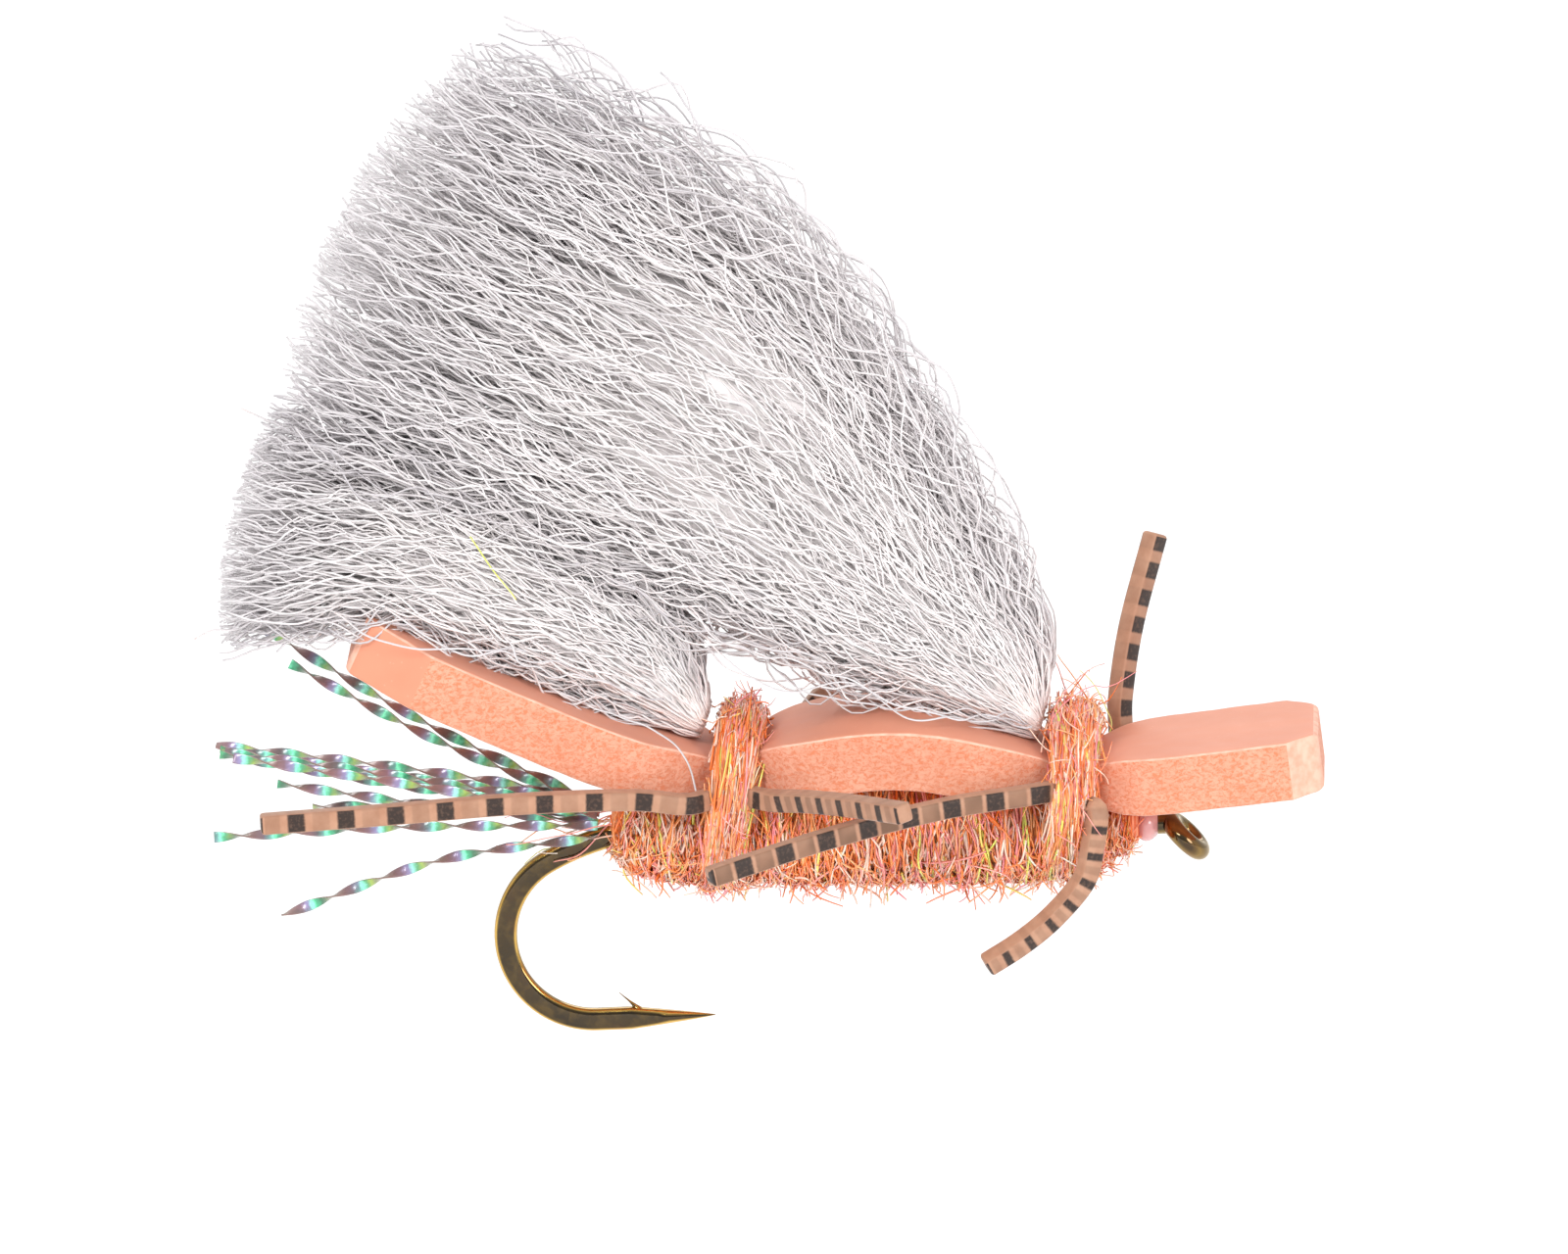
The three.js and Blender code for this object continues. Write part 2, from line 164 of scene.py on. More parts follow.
# Single fibres of yarn that have worked loose from each tuft
STRAYS = {
    "front_wing": [
        [
            [-9.6, -1, 16.6], [-8, -1, 15.4], [-6.7, -1, 13.9], [-5.8, -1, 12.4], [-5.4, -1, 10.8],
            [-5.6, -1, 8.9],
        ],
        [
            [-16, -2, 7.6], [-14.7, -2.4, 6.3], [-13, -2.8, 5.9], [-11, -2.8, 6], [-8.8, -2.6, 4.8],
            [-5.3, -1.6, 4.4],
        ],
        [
            [-16.6, -2, 8.6], [-15.2, -2.4, 7.3], [-13.4, -2.7, 7], [-11.4, -2.8, 6.4], [-9, -2.7, 5],
            [-5.1, -1.5, 4.3],
        ],
        [[-14.6, -1, 7.2], [-12.8, -2, 5.7], [-10.6, -2.4, 5.2], [-8.2, -2.2, 5.1], [-5.3, -1.4, 4.3]],
        [[-18, 0.5, 24.6], [-14.6, 0.4, 23.3], [-11.6, 0.3, 20.6], [-9.2, 0.3, 17.6], [-7.4, 0.2, 14.2]],
    ],
    "rear_wing": [
        [[-33.2, -2, 7.7], [-32, -2, 8], [-30, -2, 8.3], [-28.2, -2, 8.2], [-25.9, -2.1, 8.2]],
        [[-28.4, -2.7, 8.7], [-27.2, -3.2, 8], [-25.8, -3.3, 7.6], [-24.3, -3.3, 7.5], [-22, -2.9, 7.3]],
        [[-26.7, -2.9, 8.9], [-25.2, -3.2, 7.9], [-24.2, -3.3, 7.4], [-22.8, -3.2, 7.4], [-20.5, -2.6, 6.7]],
        [[-22.9, -2.9, 8.3], [-22.3, -3.2, 7.2], [-21.1, -3.3, 6.6], [-19.6, -2.9, 6.4], [-17.6, -1.6, 5.2]],
        [[-20, -2.9, 5.5], [-18.7, -3.4, 5.1], [-17.4, -3.45, 4.5], [-16.7, -3.45, 3.7], [-16.4, -3.4, 2.6]],
        [[-31.6, 1, 14.9], [-30.4, 0.8, 14.4], [-29, 0.6, 14.2], [-27, 0.5, 13.2]],
    ],
}
WING_GLINT = [[-23.8, -2.75, 11.3], [-23.3, -2.8, 10.5], [-22.6, -2.8, 9.6], [-22.3, -2.7, 9.1]]


def print_on(printed, pitch, bar, faint, roll=0):
    """Bars on a leg's "face" or "edge": distance from bar to bar, length of a bar, strength of the faint bars
    between. roll is the strand's turn about itself, in degrees.
    """
    return {"printed": printed, "pitch": pitch, "bar": bar, "faint": faint, "roll": roll}


# Rubber legs, each with its path from the centre of its root outwards
LEGS = {
    "leg_right_rear_back": {
        "path": [
            [-16.8, -3.25, 2.1], [-18.6, -3.6, 2.35], [-22.5, -4.2, 2.4], [-26.5, -4.8, 2.25],
            [-30.9, -5.4, 2.1],
        ],
        **print_on("face", 1.62, 0.56, 0.35),
    },
    "leg_right_rear_forward": {
        "path": [[-13.8, -3.25, 2.2], [-12.6, -4.6, 2.5], [-11, -6.6, 2.85], [-9.2, -9, 3.2]],
        **print_on("face", 1.1, 0.32, 0.55),
    },
    "leg_right_front_back": {
        "path": [[-5.25, -3.25, 2.3], [-8.2, -4.3, 2.1], [-11.8, -6, 1.6], [-15.8, -8, 0.8]],
        **print_on("face", 1.5, 0.62, 0.95),
    },
    "leg_right_front_forward": {
        "path": [
            [-2.95, -3.2, 1.7], [-3.1, -3.4, 0.45], [-3.4, -3.55, -0.6], [-4.4, -3.8, -1.75],
            [-5.5, -4.1, -2.6], [-6.7, -4.4, -3.3],
        ],
        **print_on("edge", 0.88, 0.26, 0.4, roll=60),
    },
    "leg_left_rear_back": {
        "path": [[-16.8, 3.25, 2.1], [-18.6, 3.7, 2.5], [-21.5, 4.5, 3.5], [-24.6, 5.4, 4.6]],
        **print_on("face", 1.62, 0.56, 0.35),
    },
    "leg_left_rear_forward": {
        "path": [[-13.8, 3.25, 2.2], [-12.4, 4.9, 3.7], [-10.9, 6.5, 4.2], [-9, 8, 4.4]],
        **print_on("face", 1.2, 0.5, 0.35),
    },
    "leg_left_front_back": {
        "path": [[-5.25, 3.25, 2.3], [-7.6, 3.7, 2.1], [-10.4, 4.2, 1.7], [-13.2, 4.7, 1.2]],
        **print_on("face", 1.5, 0.6, 0.8),
    },
    "leg_left_front_forward": {
        "path": [[-2.25, 3.25, 2.3], [-2.2, 3.6, 3.9], [-1.8, 4.3, 6.3], [-0.95, 5, 9.3]],
        **print_on("edge", 0.93, 0.55, 0.3, roll=-42),
    },
}

# Flash ribbons: where each leaves the body (Y, Z), its tip, and how far it bows upwards
FLASH = [
    {"root": [0.4, 1.2], "tip": [-31.2, 2.6, 6.9], "bow": -0.35},
    {"root": [0, 1.2], "tip": [-30.2, 1.5, 5.9], "bow": -0.3},
    {"root": [1.2, 1.2], "tip": [-32.8, 1.8, 3.0], "bow": 0.1},
    {"root": [0.8, 1.2], "tip": [-32.6, 0.9, 3.1], "bow": -0.1},
    {"root": [-0.4, 1.2], "tip": [-32.4, 0.1, 3.2], "bow": 0.1},
    {"root": [-0.8, 1.2], "tip": [-32.5, -0.8, 3.35], "bow": -0.1},
    {"root": [-1.2, 1.2], "tip": [-32, -1.7, 3.45], "bow": 0.05},
    {"root": [-0.6, 0.8], "tip": [-30.6, -0.6, 2.25], "bow": -0.1},
    {"root": [0.6, 0.8], "tip": [-29.5, 0.7, 1.1], "bow": 0.15},
    {"root": [-1.0, 0.8], "tip": [-32.7, -1.9, 0.75], "bow": 0.15},
    {"root": [-1.0, 0.4], "tip": [-30.5, -1.5, -2.1], "bow": 0.55},
]


# ---------------------------------------------------------------- camera, light and floor

# The camera looks from far off, so that the picture is nearly square on; the floor lies well below
CAMERA_AZIMUTH = math.radians(2)
CAMERA_ELEVATION = math.radians(14)
CAMERA_ROLL = math.radians(1.03)
FRAME_WIDE = 52.9
FRAME_CENTRE = (-13.55, 7.04)  # of the picture, right and up from the hook eye
CAMERA_AWAY = 640.0
SENSOR = 36.0
FLOOR_DROP = 30.0
FLOOR_HALF = 4.0  # metres


def placed(name, data):
    """A new object in the scene."""
    made = bpy.data.objects.new(name, data)
    bpy.context.scene.collection.objects.link(made)
    return made


def add_camera():
    turn, rise, roll = CAMERA_AZIMUTH, CAMERA_ELEVATION, CAMERA_ROLL
    level = Vector((math.cos(turn), math.sin(turn), 0))
    upright = Vector((-math.sin(turn) * math.sin(rise), math.cos(turn) * math.sin(rise), math.cos(rise)))
    back = level.cross(upright)
    right = level * math.cos(roll) - upright * math.sin(roll)
    up = level * math.sin(roll) + upright * math.cos(roll)
    camera = placed("camera", bpy.data.cameras.new("camera"))
    camera.data.sensor_width = SENSOR
    camera.data.lens = SENSOR * CAMERA_AWAY / FRAME_WIDE
    camera.data.dof.use_dof = False
    place = (right * FRAME_CENTRE[0] + up * FRAME_CENTRE[1] + back * CAMERA_AWAY) * MM
    axes = Matrix((right, up, back)).transposed()
    camera.matrix_world = Matrix.Translation(place) @ axes.to_4x4()
    bpy.context.scene.camera = camera


def area_light(name, place, aim, size, power):
    """A round soft lamp; place, aim and size are in metres."""
    light = bpy.data.lights.new(name, "AREA")
    light.shape = "DISK"
    light.size = size
    light.energy = power
    lamp = placed(name, light)
    lamp.location = place
    lamp.rotation_euler = (Vector(aim) - Vector(place)).to_track_quat("-Z", "Y").to_euler()


def add_world():
    """A world that lights less from the viewer's side (-Y), and that the camera sees as plain white."""
    white = (1, 1, 1, 1)
    world = bpy.data.worlds.new("studio")
    world.use_nodes = True
    tree = world.node_tree
    heading = node(tree, "TexCoord", {}).outputs["Generated"]
    from_viewer = node(tree, "SeparateXYZ", {"Vector": heading}).outputs["Y"]
    glow = scaled(tree, from_viewer, -1.0, -0.25, 0.5, 0.88)
    lit = node(tree, "Background", {"Color": white, "Strength": glow}).outputs[0]
    seen = node(tree, "Background", {"Color": white, "Strength": 1.0}).outputs[0]
    camera_ray = node(tree, "LightPath", {}).outputs["Is Camera Ray"]
    either = node(tree, "MixShader", {0: camera_ray, 1: lit, 2: seen}).outputs[0]
    tree.links.new(either, tree.nodes["World Output"].inputs["Surface"])
    bpy.context.scene.world = world
    bpy.context.scene.view_settings.view_transform = "Standard"


def add_studio():
    """A white world and three large soft lamps over a pale floor."""
    low, high = CAD_BOX
    middle = (low + high) / 2
    area_light("key_light", (-0.25, -0.6, 0.42), middle, size=0.3, power=3.4)
    area_light("fill_light", (0.45, -0.5, 0.2), middle, size=0.3, power=1.7)
    area_light("back_light", (0.05, 0.6, 0.45), middle, size=0.4, power=1.0)
    add_world()

    half, z = FLOOR_HALF, low.z - FLOOR_DROP * MM
    mesh = bpy.data.meshes.new("floor")
    corners = [(x * half, y * half, z) for x, y in ((-1, -1), (1, -1), (1, 1), (-1, 1))]
    mesh.from_pydata(corners, [], [(0, 1, 2, 3)])
    floor = placed("floor", mesh)
    paper, tree, principled = shader("floor_paper", {"Roughness": 0.9, "Specular IOR Level": 0.1})
    grain = node(tree, "TexNoise", {"Scale": 40.0, "Detail": 3.0}).outputs["Fac"]
    tint = ramp(tree, grain, [(0.3, (253, 253, 253)), (0.7, (255, 255, 255))])
    paint(tree, principled, tint)
    mesh.materials.append(paper)
    floor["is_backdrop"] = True


# ---------------------------------------------------------------- material helpers


def linear(rgb):
    """A linear colour from an sRGB one in 0..255."""
    channels = []
    for value in rgb:
        share = value / 255
        channels.append(share / 12.92 if share <= 0.04045 else ((share + 0.055) / 1.055) ** 2.4)
    return (*channels, 1.0)


def shader(name, constants):
    """A new material with its Principled node's constant sockets set."""
    material = bpy.data.materials.new(name)
    material.use_nodes = True
    principled = material.node_tree.nodes["Principled BSDF"]
    for socket, value in constants.items():
        principled.inputs[socket].default_value = value
    return material, material.node_tree, principled


def node(tree, kind, inputs, **settings):
    """A new node; an input is a socket to link from or a constant."""
    made = tree.nodes.new("ShaderNode" + kind)
    for key, value in settings.items():
        setattr(made, key, value)
    for key, value in inputs.items():
        if isinstance(value, bpy.types.NodeSocket):
            tree.links.new(value, made.inputs[key])
        else:
            made.inputs[key].default_value = value
    return made


def maths(tree, operation, first, second=0.0):
    return node(tree, "Math", {0: first, 1: second}, operation=operation).outputs[0]


def ramp(tree, value, stops, interpolation="LINEAR"):
    """A colour ramp over value; stops are (place, sRGB colour)."""
    made = node(tree, "ValToRGB", {"Fac": value})
    made.color_ramp.interpolation = interpolation
    elements = made.color_ramp.elements
    while len(elements) < len(stops):
        elements.new(0.5)
    for element, (place, rgb) in zip(elements, stops):
        element.position = place
        element.color = linear(rgb)
    return made.outputs["Color"]


def mixed(tree, share, first, second):
    """first where share is 0 and second where it is 1; each is a socket or an sRGB colour."""
    colours = [one if isinstance(one, bpy.types.NodeSocket) else linear(one) for one in (first, second)]
    factor_socket, first_socket, second_socket, result = 0, 6, 7, 2  # those of the node's colour mode
    inputs = {factor_socket: share, first_socket: colours[0], second_socket: colours[1]}
    return node(tree, "Mix", inputs, data_type="RGBA").outputs[result]


def scaled(tree, value, low, high, at_low, at_high):
    """value carried from low..high over to at_low..at_high, and held there beyond both ends."""
    return node(tree, "MapRange", {0: value, 1: low, 2: high, 3: at_low, 4: at_high}).outputs[0]


def clouds(tree, where, scale, detail, **more):
    """Smooth noise, 0..1; more names further sockets of the noise node."""
    inputs = {"Vector": where, "Scale": scale, "Detail": detail, **more}
    return node(tree, "TexNoise", inputs).outputs["Fac"]


def stretch(tree, where, factors):
    return node(tree, "VectorMath", {0: where, 1: factors}, operation="MULTIPLY").outputs[0]


def paint(tree, principled, tint):
    tree.links.new(tint, principled.inputs["Base Color"])


def bump(tree, principled, height, strength, distance):
    """Relief by height; distance is its depth in millimetres."""
    made = node(tree, "Bump", {"Height": height, "Strength": strength, "Distance": distance * MM})
    tree.links.new(made.outputs["Normal"], principled.inputs["Normal"])


def place_of(tree):
    """Object coordinates in millimetres."""
    where = node(tree, "TexCoord", {}).outputs["Object"]
    return stretch(tree, where, (1 / MM,) * 3)


def strand_map(tree):
    """Across and along coordinates, 0..1, of a strand's own map."""
    where = node(tree, "UVMap", {}, uv_map=BAKE_MAP).outputs["UV"]
    parts = node(tree, "SeparateXYZ", {"Vector": where})
    return parts.outputs["X"], parts.outputs["Y"]


# ---------------------------------------------------------------- materials


def foam_skin_material():
    material, tree, principled = shader(
        "foam_skin",
        {"Roughness": 0.55, "Specular IOR Level": 0.3, "Sheen Weight": 0.1, "Sheen Roughness": 0.5},
    )
    where = place_of(tree)
    cloud = clouds(tree, where, 0.35, 3.0)
    tint = ramp(tree, cloud, [(0.3, (216, 140, 111)), (0.7, (223, 148, 119))])
    pits = node(tree, "TexVoronoi", {"Vector": where, "Scale": 2.6}).outputs["Distance"]
    pit = scaled(tree, pits, 0.02, 0.12, 1.0, 0.0)
    tint = mixed(tree, maths(tree, "MULTIPLY", pit, 0.35), tint, (228, 178, 154))
    paint(tree, principled, tint)
    fine = clouds(tree, where, 14.0, 4.0)
    bump(tree, principled, fine, 0.12, 0.03)
    return material


def foam_cut_material():
    material, tree, principled = shader(
        "foam_cut",
        {"Roughness": 0.85, "Specular IOR Level": 0.25, "Sheen Weight": 0.2, "Sheen Roughness": 0.6},
    )
    where = place_of(tree)
    stretched = stretch(tree, where, (0.8, 1.0, 1.25))
    warp = node(tree, "TexNoise", {"Vector": where, "Scale": 4.0, "Detail": 2.0}).outputs["Color"]
    warp = node(tree, "VectorMath", {0: warp, 3: 0.35}, operation="SCALE").outputs[0]
    stretched = node(tree, "VectorMath", {0: stretched, 1: warp}, operation="ADD").outputs[0]
    cells = node(tree, "TexVoronoi", {"Vector": stretched, "Scale": 6.5}).outputs["Distance"]
    pore = scaled(tree, cells, 0.1, 0.42, 1.0, 0.0)
    speck = scaled(tree, clouds(tree, stretched, 7.5, 4.0, Roughness=0.75), 0.46, 0.58, 0.0, 1.0)
    cloud = clouds(tree, where, 0.9, 2.0)
    tint = ramp(tree, cloud, [(0.3, (221, 154, 126)), (0.7, (228, 163, 136))])
    # the pores and specks, sunk in the relief below, are painted darker: painted shade in the pits
    tint = mixed(tree, maths(tree, "MULTIPLY", pore, 0.3), tint, (216, 128, 92))
    tint = mixed(tree, maths(tree, "MULTIPLY", speck, 0.75), tint, (214, 116, 72))
    paint(tree, principled, tint)
    height = maths(tree, "SUBTRACT", cells, maths(tree, "MULTIPLY", speck, 0.4))
    bump(tree, principled, height, 0.5, 0.06)
    return material


def clouded_material(name, constants, scale, detail, stops, relief, factors=(1, 1, 1), **more):
    """Tinted and raised by one noise; relief is its strength and depth, factors stretch its coordinates."""
    material, tree, principled = shader(name, constants)
    cloud = clouds(tree, stretch(tree, place_of(tree), factors), scale, detail, **more)
    paint(tree, principled, ramp(tree, cloud, stops))
    bump(tree, principled, cloud, *relief)
    return material


def foam_edge_highlight_material():
    """A paler tone painted on the rounded cut edges, the rounded ends and the snipped head: a painted
    highlight.
    """
    constants = {"Roughness": 0.6, "Specular IOR Level": 0.35}
    stops = [(0.35, (224, 164, 140)), (0.65, (238, 188, 166))]
    return clouded_material("foam_edge", constants, 3.0, 3.0, stops, relief=(0.3, 0.04))


def bronze_material():
    """Dark bronze lacquer over polished steel, a little coppery where the lacquer is thick, with a painted
    gold highlight on the wire's shoulders.
    """
    material, tree, principled = shader(
        "bronze_lacquer",
        {"Metallic": 1.0, "Coat Weight": 0.8, "Coat Roughness": 0.04, "Coat Tint": linear((255, 222, 140))},
    )
    where = place_of(tree)
    cloud = clouds(tree, where, 0.55, 3.0)
    fine = clouds(tree, where, 2.4, 4.0, Distortion=0.4)
    dark = ramp(tree, cloud, [(0.3, (48, 41, 24)), (0.55, (62, 53, 31)), (0.75, (72, 52, 34))])
    dark = mixed(tree, scaled(tree, fine, 0.45, 0.65, 0.0, 0.6), dark, (92, 80, 48))
    # painted gold highlight on the rounded shoulders beside the flats, strongest on the bend
    painted_glint = ramp(tree, cloud, [(0.3, (214, 190, 116)), (0.55, (236, 214, 142)), (0.75, (178, 122, 78))])
    facing = node(tree, "SeparateXYZ", {"Vector": node(tree, "TexCoord", {}).outputs["Normal"]}).outputs["Y"]
    painted_glint_where = [(0.0, (40, 40, 40)), (0.45, (180, 180, 180)), (0.75, (255, 255, 255)), (0.96, (0, 0, 0))]
    shoulder = ramp(tree, maths(tree, "ABSOLUTE", facing), painted_glint_where)
    forward = node(tree, "SeparateXYZ", {"Vector": where}).outputs["X"]
    bend_only = scaled(tree, forward, -17.0, -12.0, 1.0, 0.25)
    tint = mixed(tree, maths(tree, "MULTIPLY", shoulder, bend_only), dark, painted_glint)
    paint(tree, principled, tint)
    scratch = clouds(tree, where, 9.0, 4.0)
    rough = scaled(tree, scratch, 0.3, 0.7, 0.1, 0.2)
    tree.links.new(rough, principled.inputs["Roughness"])
    bump(tree, principled, scratch, 0.05, 0.02)
    return material


def yarn_material():
    """Crimped white synthetic yarn; a fibre's column in the map is its painted shade, from grey to near
    white.
    """
    material, tree, principled = shader(
        "yarn_fibre", {"Roughness": 0.42, "Specular IOR Level": 0.5, "Sheen Weight": 0.15}
    )
    across, along = strand_map(tree)
    shades = [(0.0, (198, 193, 195)), (0.25, (224, 218, 219)), (0.5, (238, 232, 232)), (1.0, (247, 242, 241))]
    tint = ramp(tree, across, shades)
    # painted shade: the fibres are greyer towards their tips
    tip = scaled(tree, along, 0.74, 1.0, 0.0, 0.4)
    tint = mixed(tree, tip, tint, (174, 170, 177))
    # painted pink light near the roots, bounced from the foam
    root = scaled(tree, along, 0.0, 0.12, 0.35, 0.0)
    tint = mixed(tree, root, tint, (250, 226, 218))
    streak = clouds(tree, place_of(tree), 1.3, 2.0)
    shade = scaled(tree, streak, 0.35, 0.65, 0.0, 0.12)
    tint = mixed(tree, shade, tint, (214, 206, 212))
    paint(tree, principled, tint)
    return material


def felt_material():
    """Matted yarn seen between the fibres."""
    material, tree, principled = shader(
        "yarn_felt", {"Roughness": 0.7, "Specular IOR Level": 0.3, "Sheen Weight": 0.3}
    )
    # the streaks run back and up, as the fibres do
    lie = {"Vector": place_of(tree), "Rotation": (0, math.radians(38), 0), "Scale": (0.35, 3.2, 3.2)}
    lain = node(tree, "Mapping", lie).outputs[0]
    streak = clouds(tree, lain, 1.5, 5.0, Roughness=0.7, Distortion=0.6)
    tint = ramp(tree, streak, [(0.3, (222, 215, 216)), (0.45, (234, 228, 228)), (0.6, (243, 238, 237))])
    paint(tree, principled, tint)
    bump(tree, principled, streak, 0.8, 0.15)
    return material


DUBBING_SHADES = [
    (0.0, (255, 130, 50)),
    (0.16, (255, 158, 82)),
    (0.32, (255, 142, 98)),
    (0.44, (255, 186, 124)),
    (0.54, (255, 162, 152)),
    (0.62, (255, 214, 192)),
    (0.71, (250, 150, 160)),
    (0.77, (255, 226, 206)),
    (0.87, (255, 230, 112)),
    (0.91, (255, 246, 230)),
    (0.98, (228, 240, 110)),
]


def dubbing_material():
    """Sparkle dubbing; a fibre's column in the map picks its colour."""
    material, tree, principled = shader(
        "dubbing_fibre",
        {"Roughness": 0.25, "Specular IOR Level": 0.8, "Coat Weight": 0.5, "Coat Roughness": 0.1},
    )
    across, along = strand_map(tree)
    tint = ramp(tree, across, DUBBING_SHADES, "CONSTANT")
    flicker = clouds(tree, place_of(tree), 2.5, 3.0)
    share = scaled(tree, flicker, 0.45, 0.75, 0.0, 0.3)
    tint = mixed(tree, share, tint, (255, 162, 104))
    tip = scaled(tree, along, 0.75, 1.0, 0.0, 0.3)
    tint = mixed(tree, tip, tint, (224, 150, 124))
    paint(tree, principled, tint)
    return material


def dubbing_core_material():
    """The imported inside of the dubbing, streaked round the shank."""
    constants = {"Roughness": 0.5, "Specular IOR Level": 0.4, "Sheen Weight": 0.3}
    stops = [(0.3, (255, 138, 62)), (0.45, (255, 162, 90)), (0.58, (255, 190, 134)), (0.72, (255, 206, 182))]
    wound = (7.0, 0.9, 0.9)
    return clouded_material(
        "dubbing_core", constants, 1.4, 4.0, stops, relief=(0.8, 0.12), factors=wound, Roughness=0.65
    )


def thread_material():
    material, tree, principled = shader("tying_thread", {"Roughness": 0.5, "Specular IOR Level": 0.45})
    wave = {"Vector": place_of(tree), "Scale": 2.6, "Distortion": 0.6}
    turns = node(tree, "TexWave", wave, wave_type="BANDS").outputs["Fac"]
    # each turn is painted darker in the groove beside it and lighter on its crown: painted shade and
    # highlight
    tint = ramp(tree, turns, [(0.1, (226, 110, 66)), (0.6, (248, 150, 104)), (1.0, (255, 184, 150))])
    paint(tree, principled, tint)
    bump(tree, principled, turns, 0.6, 0.04)
    return material


def cement_material():
    material, tree, principled = shader(
        "head_cement_gloss",
        {"Roughness": 0.12, "Coat Weight": 1.0, "Coat Roughness": 0.03, "Subsurface Weight": 0.1},
    )
    principled.inputs["Subsurface Scale"].default_value = 0.3 * MM
    cloud = clouds(tree, place_of(tree), 1.8, 2.0)
    tint = ramp(tree, cloud, [(0.3, (204, 138, 138)), (0.7, (222, 164, 160))])
    paint(tree, principled, tint)
    return material


def yarn_butt_material():
    constants = {"Roughness": 0.55, "Specular IOR Level": 0.4}
    stops = [(0.3, (196, 190, 196)), (0.6, (240, 232, 232))]
    along_fly = (0.6, 8.0, 8.0)
    return clouded_material("yarn_bound", constants, 1.2, 3.0, stops, relief=(0.6, 0.05), factors=along_fly)


RUBBER_STOPS = [(0.3, (168, 122, 96)), (0.7, (184, 140, 114))]
BAR_BLACK = (36, 26, 23)
BAR_FAINT = (116, 84, 64)


def rubber_material(name, length, leg):
    """Barred rubber: black bars with faint ones between, on two opposite faces or edges of the strand."""
    pitch, bar = leg["pitch"], leg["bar"]
    constants = {"Roughness": 0.5, "Specular IOR Level": 0.35, "Sheen Weight": 0.1}
    material, tree, principled = shader(name, constants)
    across, along = strand_map(tree)
    where = place_of(tree)
    smear = clouds(tree, where, 9.0, 4.0)
    run = maths(tree, "MULTIPLY", along, length)
    run = maths(tree, "ADD", run, maths(tree, "MULTIPLY", maths(tree, "SUBTRACT", smear, 0.5), 0.05))
    quarter = 0.0 if leg["printed"] == "face" else 0.25
    from_face = maths(tree, "PINGPONG", maths(tree, "SUBTRACT", across, quarter), 0.25)
    printed = scaled(tree, from_face, 0.11, 0.15, 1.0, 0.12)
    dark = maths(tree, "MULTIPLY", bar_share(tree, run, pitch, bar, 0.4 * pitch), printed)
    faint = maths(tree, "MULTIPLY", bar_share(tree, run, pitch, bar, 0.9 * pitch), printed)
    patch = clouds(tree, where, 0.9, 1.0)
    faded = scaled(tree, patch, 0.35, 0.6, 0.6 * leg["faint"], leg["faint"])
    body = clouds(tree, where, 2.2, 4.0)
    tint = ramp(tree, body, RUBBER_STOPS)
    tint = mixed(tree, maths(tree, "MULTIPLY", faint, faded), tint, BAR_FAINT)
    ink = scaled(tree, smear, 0.25, 0.5, 0.8, 0.97)
    tint = mixed(tree, maths(tree, "MULTIPLY", dark, ink), tint, BAR_BLACK)
    paint(tree, principled, tint)
    bump(tree, principled, smear, 0.15, 0.03)
    return material


def bar_share(tree, run, pitch, bar, start):
    """1 on bars of the given length, one every pitch along run, with soft edges; 0 elsewhere."""
    soft = 0.035
    phase = maths(tree, "SUBTRACT", run, start)
    into = maths(tree, "ABSOLUTE", maths(tree, "PINGPONG", phase, pitch / 2))
    return scaled(tree, into, bar / 2 - soft, bar / 2 + soft, 1.0, 0.0)


def plain_rubber_material():
    constants = {"Roughness": 0.5, "Specular IOR Level": 0.35}
    return clouded_material("rubber_bound", constants, 2.2, 4.0, RUBBER_STOPS, relief=(0.2, 0.03))


# Colours of the flash film from one twist to the next, in its two kinds of lobe: mauve-brown at the twists,
# and a green painted sheen with a painted glint across the middle of each lobe, where it lies flat to the
# camera
FILM_EDGE = (136, 108, 104)
FILM_GREEN = [
    (0.0, FILM_EDGE),
    (0.2, (106, 112, 98)),
    (0.36, (66, 122, 90)),
    (0.47, (76, 180, 134)),
    (0.54, (136, 250, 200)),
    (0.6, (112, 168, 160)),
    (0.74, (106, 100, 102)),
    (1.0, FILM_EDGE),
]
FILM_YELLOW = [
    (0.0, (152, 122, 116)),
    (0.22, (124, 122, 96)),
    (0.36, (160, 186, 88)),
    (0.45, (98, 168, 112)),
    (0.54, (160, 240, 226)),
    (0.62, (150, 142, 184)),
    (0.78, (138, 108, 118)),
    (1.0, (152, 122, 116)),
]


def flash_material(name, length, start):
    """Pearl film: each lobe between two twists has a green flat with a painted glint, and mauve-brown edges.
    """
    material, tree, principled = shader(
        name, {"Roughness": 0.25, "Metallic": 0.1, "Coat Weight": 0.35, "Coat Roughness": 0.08}
    )
    across, along = strand_map(tree)
    cloud = clouds(tree, place_of(tree), 0.9, 1.0)
    fine = clouds(tree, place_of(tree), 7.0, 2.0)
    lobes = maths(tree, "MULTIPLY", along, length / (FLASH_TWIST / 2))
    shaken = maths(tree, "ADD", lobes, maths(tree, "MULTIPLY", fine, 0.12))
    phase = maths(tree, "FRACT", maths(tree, "ADD", shaken, start))
    which = scaled(tree, cloud, 0.42, 0.58, 0.0, 1.0)
    tint = mixed(tree, which, ramp(tree, phase, FILM_GREEN), ramp(tree, phase, FILM_YELLOW))
    to_edge = maths(tree, "PINGPONG", across, 0.25)
    rim = scaled(tree, to_edge, 0.03, 0.07, 0.85, 0.0)
    tint = mixed(tree, rim, tint, (138, 108, 104))
    paint(tree, principled, tint)
    return material


# ---------------------------------------------------------------- mesh helpers


def unit(vectors):
    return vectors / np.maximum(np.linalg.norm(vectors, axis=-1, keepdims=True), 1e-12)


